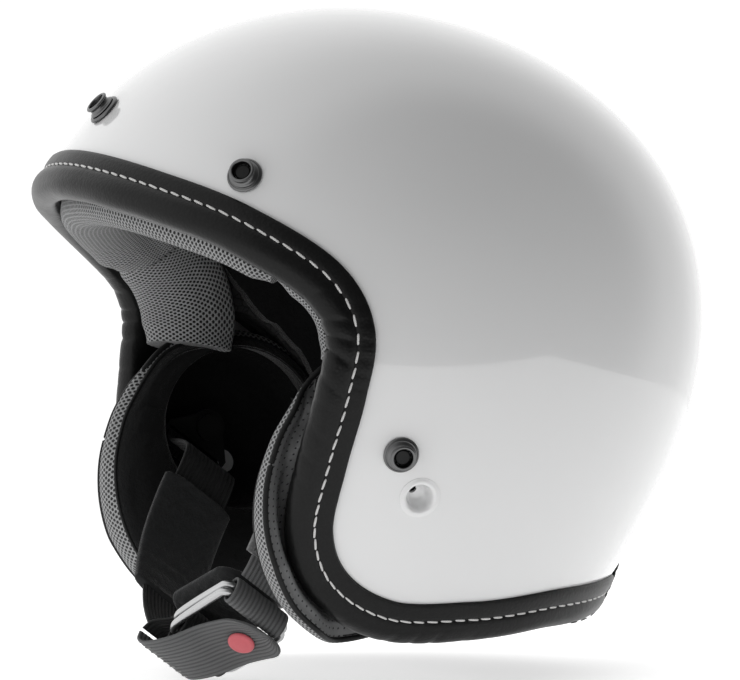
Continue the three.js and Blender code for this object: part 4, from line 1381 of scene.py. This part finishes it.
def makeTab():
    hook, _ = tabPiece(tab["hook"], 2.0, 0)
    finishPiece(hook, "tab_hook_leather", "liningLeather", "helmet", ["goggle_tab_hook"])
    flap, track = tabPiece(tab["flap"], 2.1, 11)
    finishPiece(flap, "tab_flap_leather", "trimLeather", "goggle_flap", ["goggle_tab_flap"])
    places = []
    for side in (-1, 1):
        for k in range(13):
            at = 0.14 + 0.66 * k / 12
            near, across = np.array([at - 0.004, at, at + 0.004]), np.full(3, side * tab["stitchLine"])
            ends = tabPlace(track, near, across, np.full(3, 1.22))
            below = tabPlace(track, near, across, np.zeros(3))[1]
            places.append((ends[1], ends[2] - ends[0], ends[1] - below, 2.8))
    stitchRow("tab_flap_stitching", places, stitchLook, "blackThread", "goggle_flap")
    cap = turnedPiece(tab["cap"], 56, 34)
    stud = rimPoint(np.zeros(1), np.full(1, tab["studInset"]), 0.0)[0]
    cap.data.transform(standing(stud, shellNormal(stud)))
    finishPiece(cap, "tab_snap_cap", "gunmetal", "goggle_flap", ["goggle_tab_snap_cap"])


makeTab()
print("goggle tab made")

# ---- foam blocks with softened edges, and finishes for the model's own steel and plastic pieces ----
def softened(name, piece, finish, width):
    node = bpy.data.objects[name]
    soft = copyOf(node, node.matrix_world)
    soft.matrix_world = Matrix.Identity(4)
    for key in list(soft.keys()):
        del soft[key]
    edge = soft.modifiers.new("edge", "BEVEL")
    edge.width, edge.segments, edge.limit_method, edge.angle_limit = width * mm, 3, "ANGLE", math.radians(35)
    clearSelection()
    soft.select_set(True)
    bpy.context.view_layer.objects.active = soft
    bpy.ops.object.modifier_apply(modifier=edge.name)
    smoothShade(soft, 40)
    finishPiece(soft, piece, finish, "helmet", [name])


for side in ("left", "right"):
    softened(f"cheek_block_{side}", f"cheek_foam_{side}", "linerFoam", 1.2)

keptFinishes = {
    "snapWell": [f"snap_rivet_{name}" for name in snap["places"]]
    + ["strap_anchor_left", "strap_anchor_right", "strap_hanger_left", "strap_hanger_right"],
    "padPlate": ["cheek_plate_left", "cheek_plate_right"],
    "brightSteel": ["goggle_tab_rivet"],
}
for finish, names in keptFinishes.items():
    for name in names:
        node = bpy.data.objects[name]
        node.data.materials.clear()
        node.data.materials.append(finishes[finish])
        smoothShade(node, 30)
print("kept pieces finished")

# ---- studio light and floor ----
def makeStudio():
    s = studio
    world = bpy.data.worlds.new("studio")
    scene.world = world
    world.use_nodes = True
    tree = world.node_tree
    tree.nodes.clear()
    coord = tree.nodes.new("ShaderNodeTexCoord")
    dot = tree.nodes.new("ShaderNodeVectorMath")
    dot.operation = "DOT_PRODUCT"
    dot.inputs[1].default_value = toward(*s["darkSide"])
    ramp = tree.nodes.new("ShaderNodeValToRGB")
    ramp.color_ramp.interpolation = "EASE"
    stops = s["skyStops"]
    while len(ramp.color_ramp.elements) < len(stops):
        ramp.color_ramp.elements.new(0.5)
    for element, (position, value) in zip(ramp.color_ramp.elements, stops):
        element.position = position
        element.color = (value, value, value, 1)
    scale = tree.nodes.new("ShaderNodeMapRange")
    scale.inputs[1].default_value = -1
    scale.inputs[2].default_value = 1
    back = tree.nodes.new("ShaderNodeBackground")
    out = tree.nodes.new("ShaderNodeOutputWorld")
    tree.links.new(coord.outputs["Generated"], dot.inputs[0])
    tree.links.new(dot.outputs["Value"], scale.inputs[0])
    tree.links.new(scale.outputs[0], ramp.inputs[0])
    tree.links.new(ramp.outputs[0], back.inputs[0])
    tree.links.new(back.outputs[0], out.inputs[0])

    low = cadBounds[0][2]
    clearSelection()
    bpy.ops.mesh.primitive_plane_add(size=s["floorSize"], location=(0, 0, 0))
    floor = bpy.context.object
    floor.data.transform(Matrix.Translation((0, 0, low - 0.0005)))
    f = Finish("pale_floor", Roughness=0.9, Emission_Strength=s["floorGlow"])
    f.shader.inputs["Emission Color"].default_value = (1, 1, 1, 1)
    f.colour(f.tint(f.noise(3, 2), grey(s["floorColour"]), grey(s["floorColour"] * 0.99)))
    floor.name = "floor"
    floor.data.materials.append(f.material)


makeStudio()
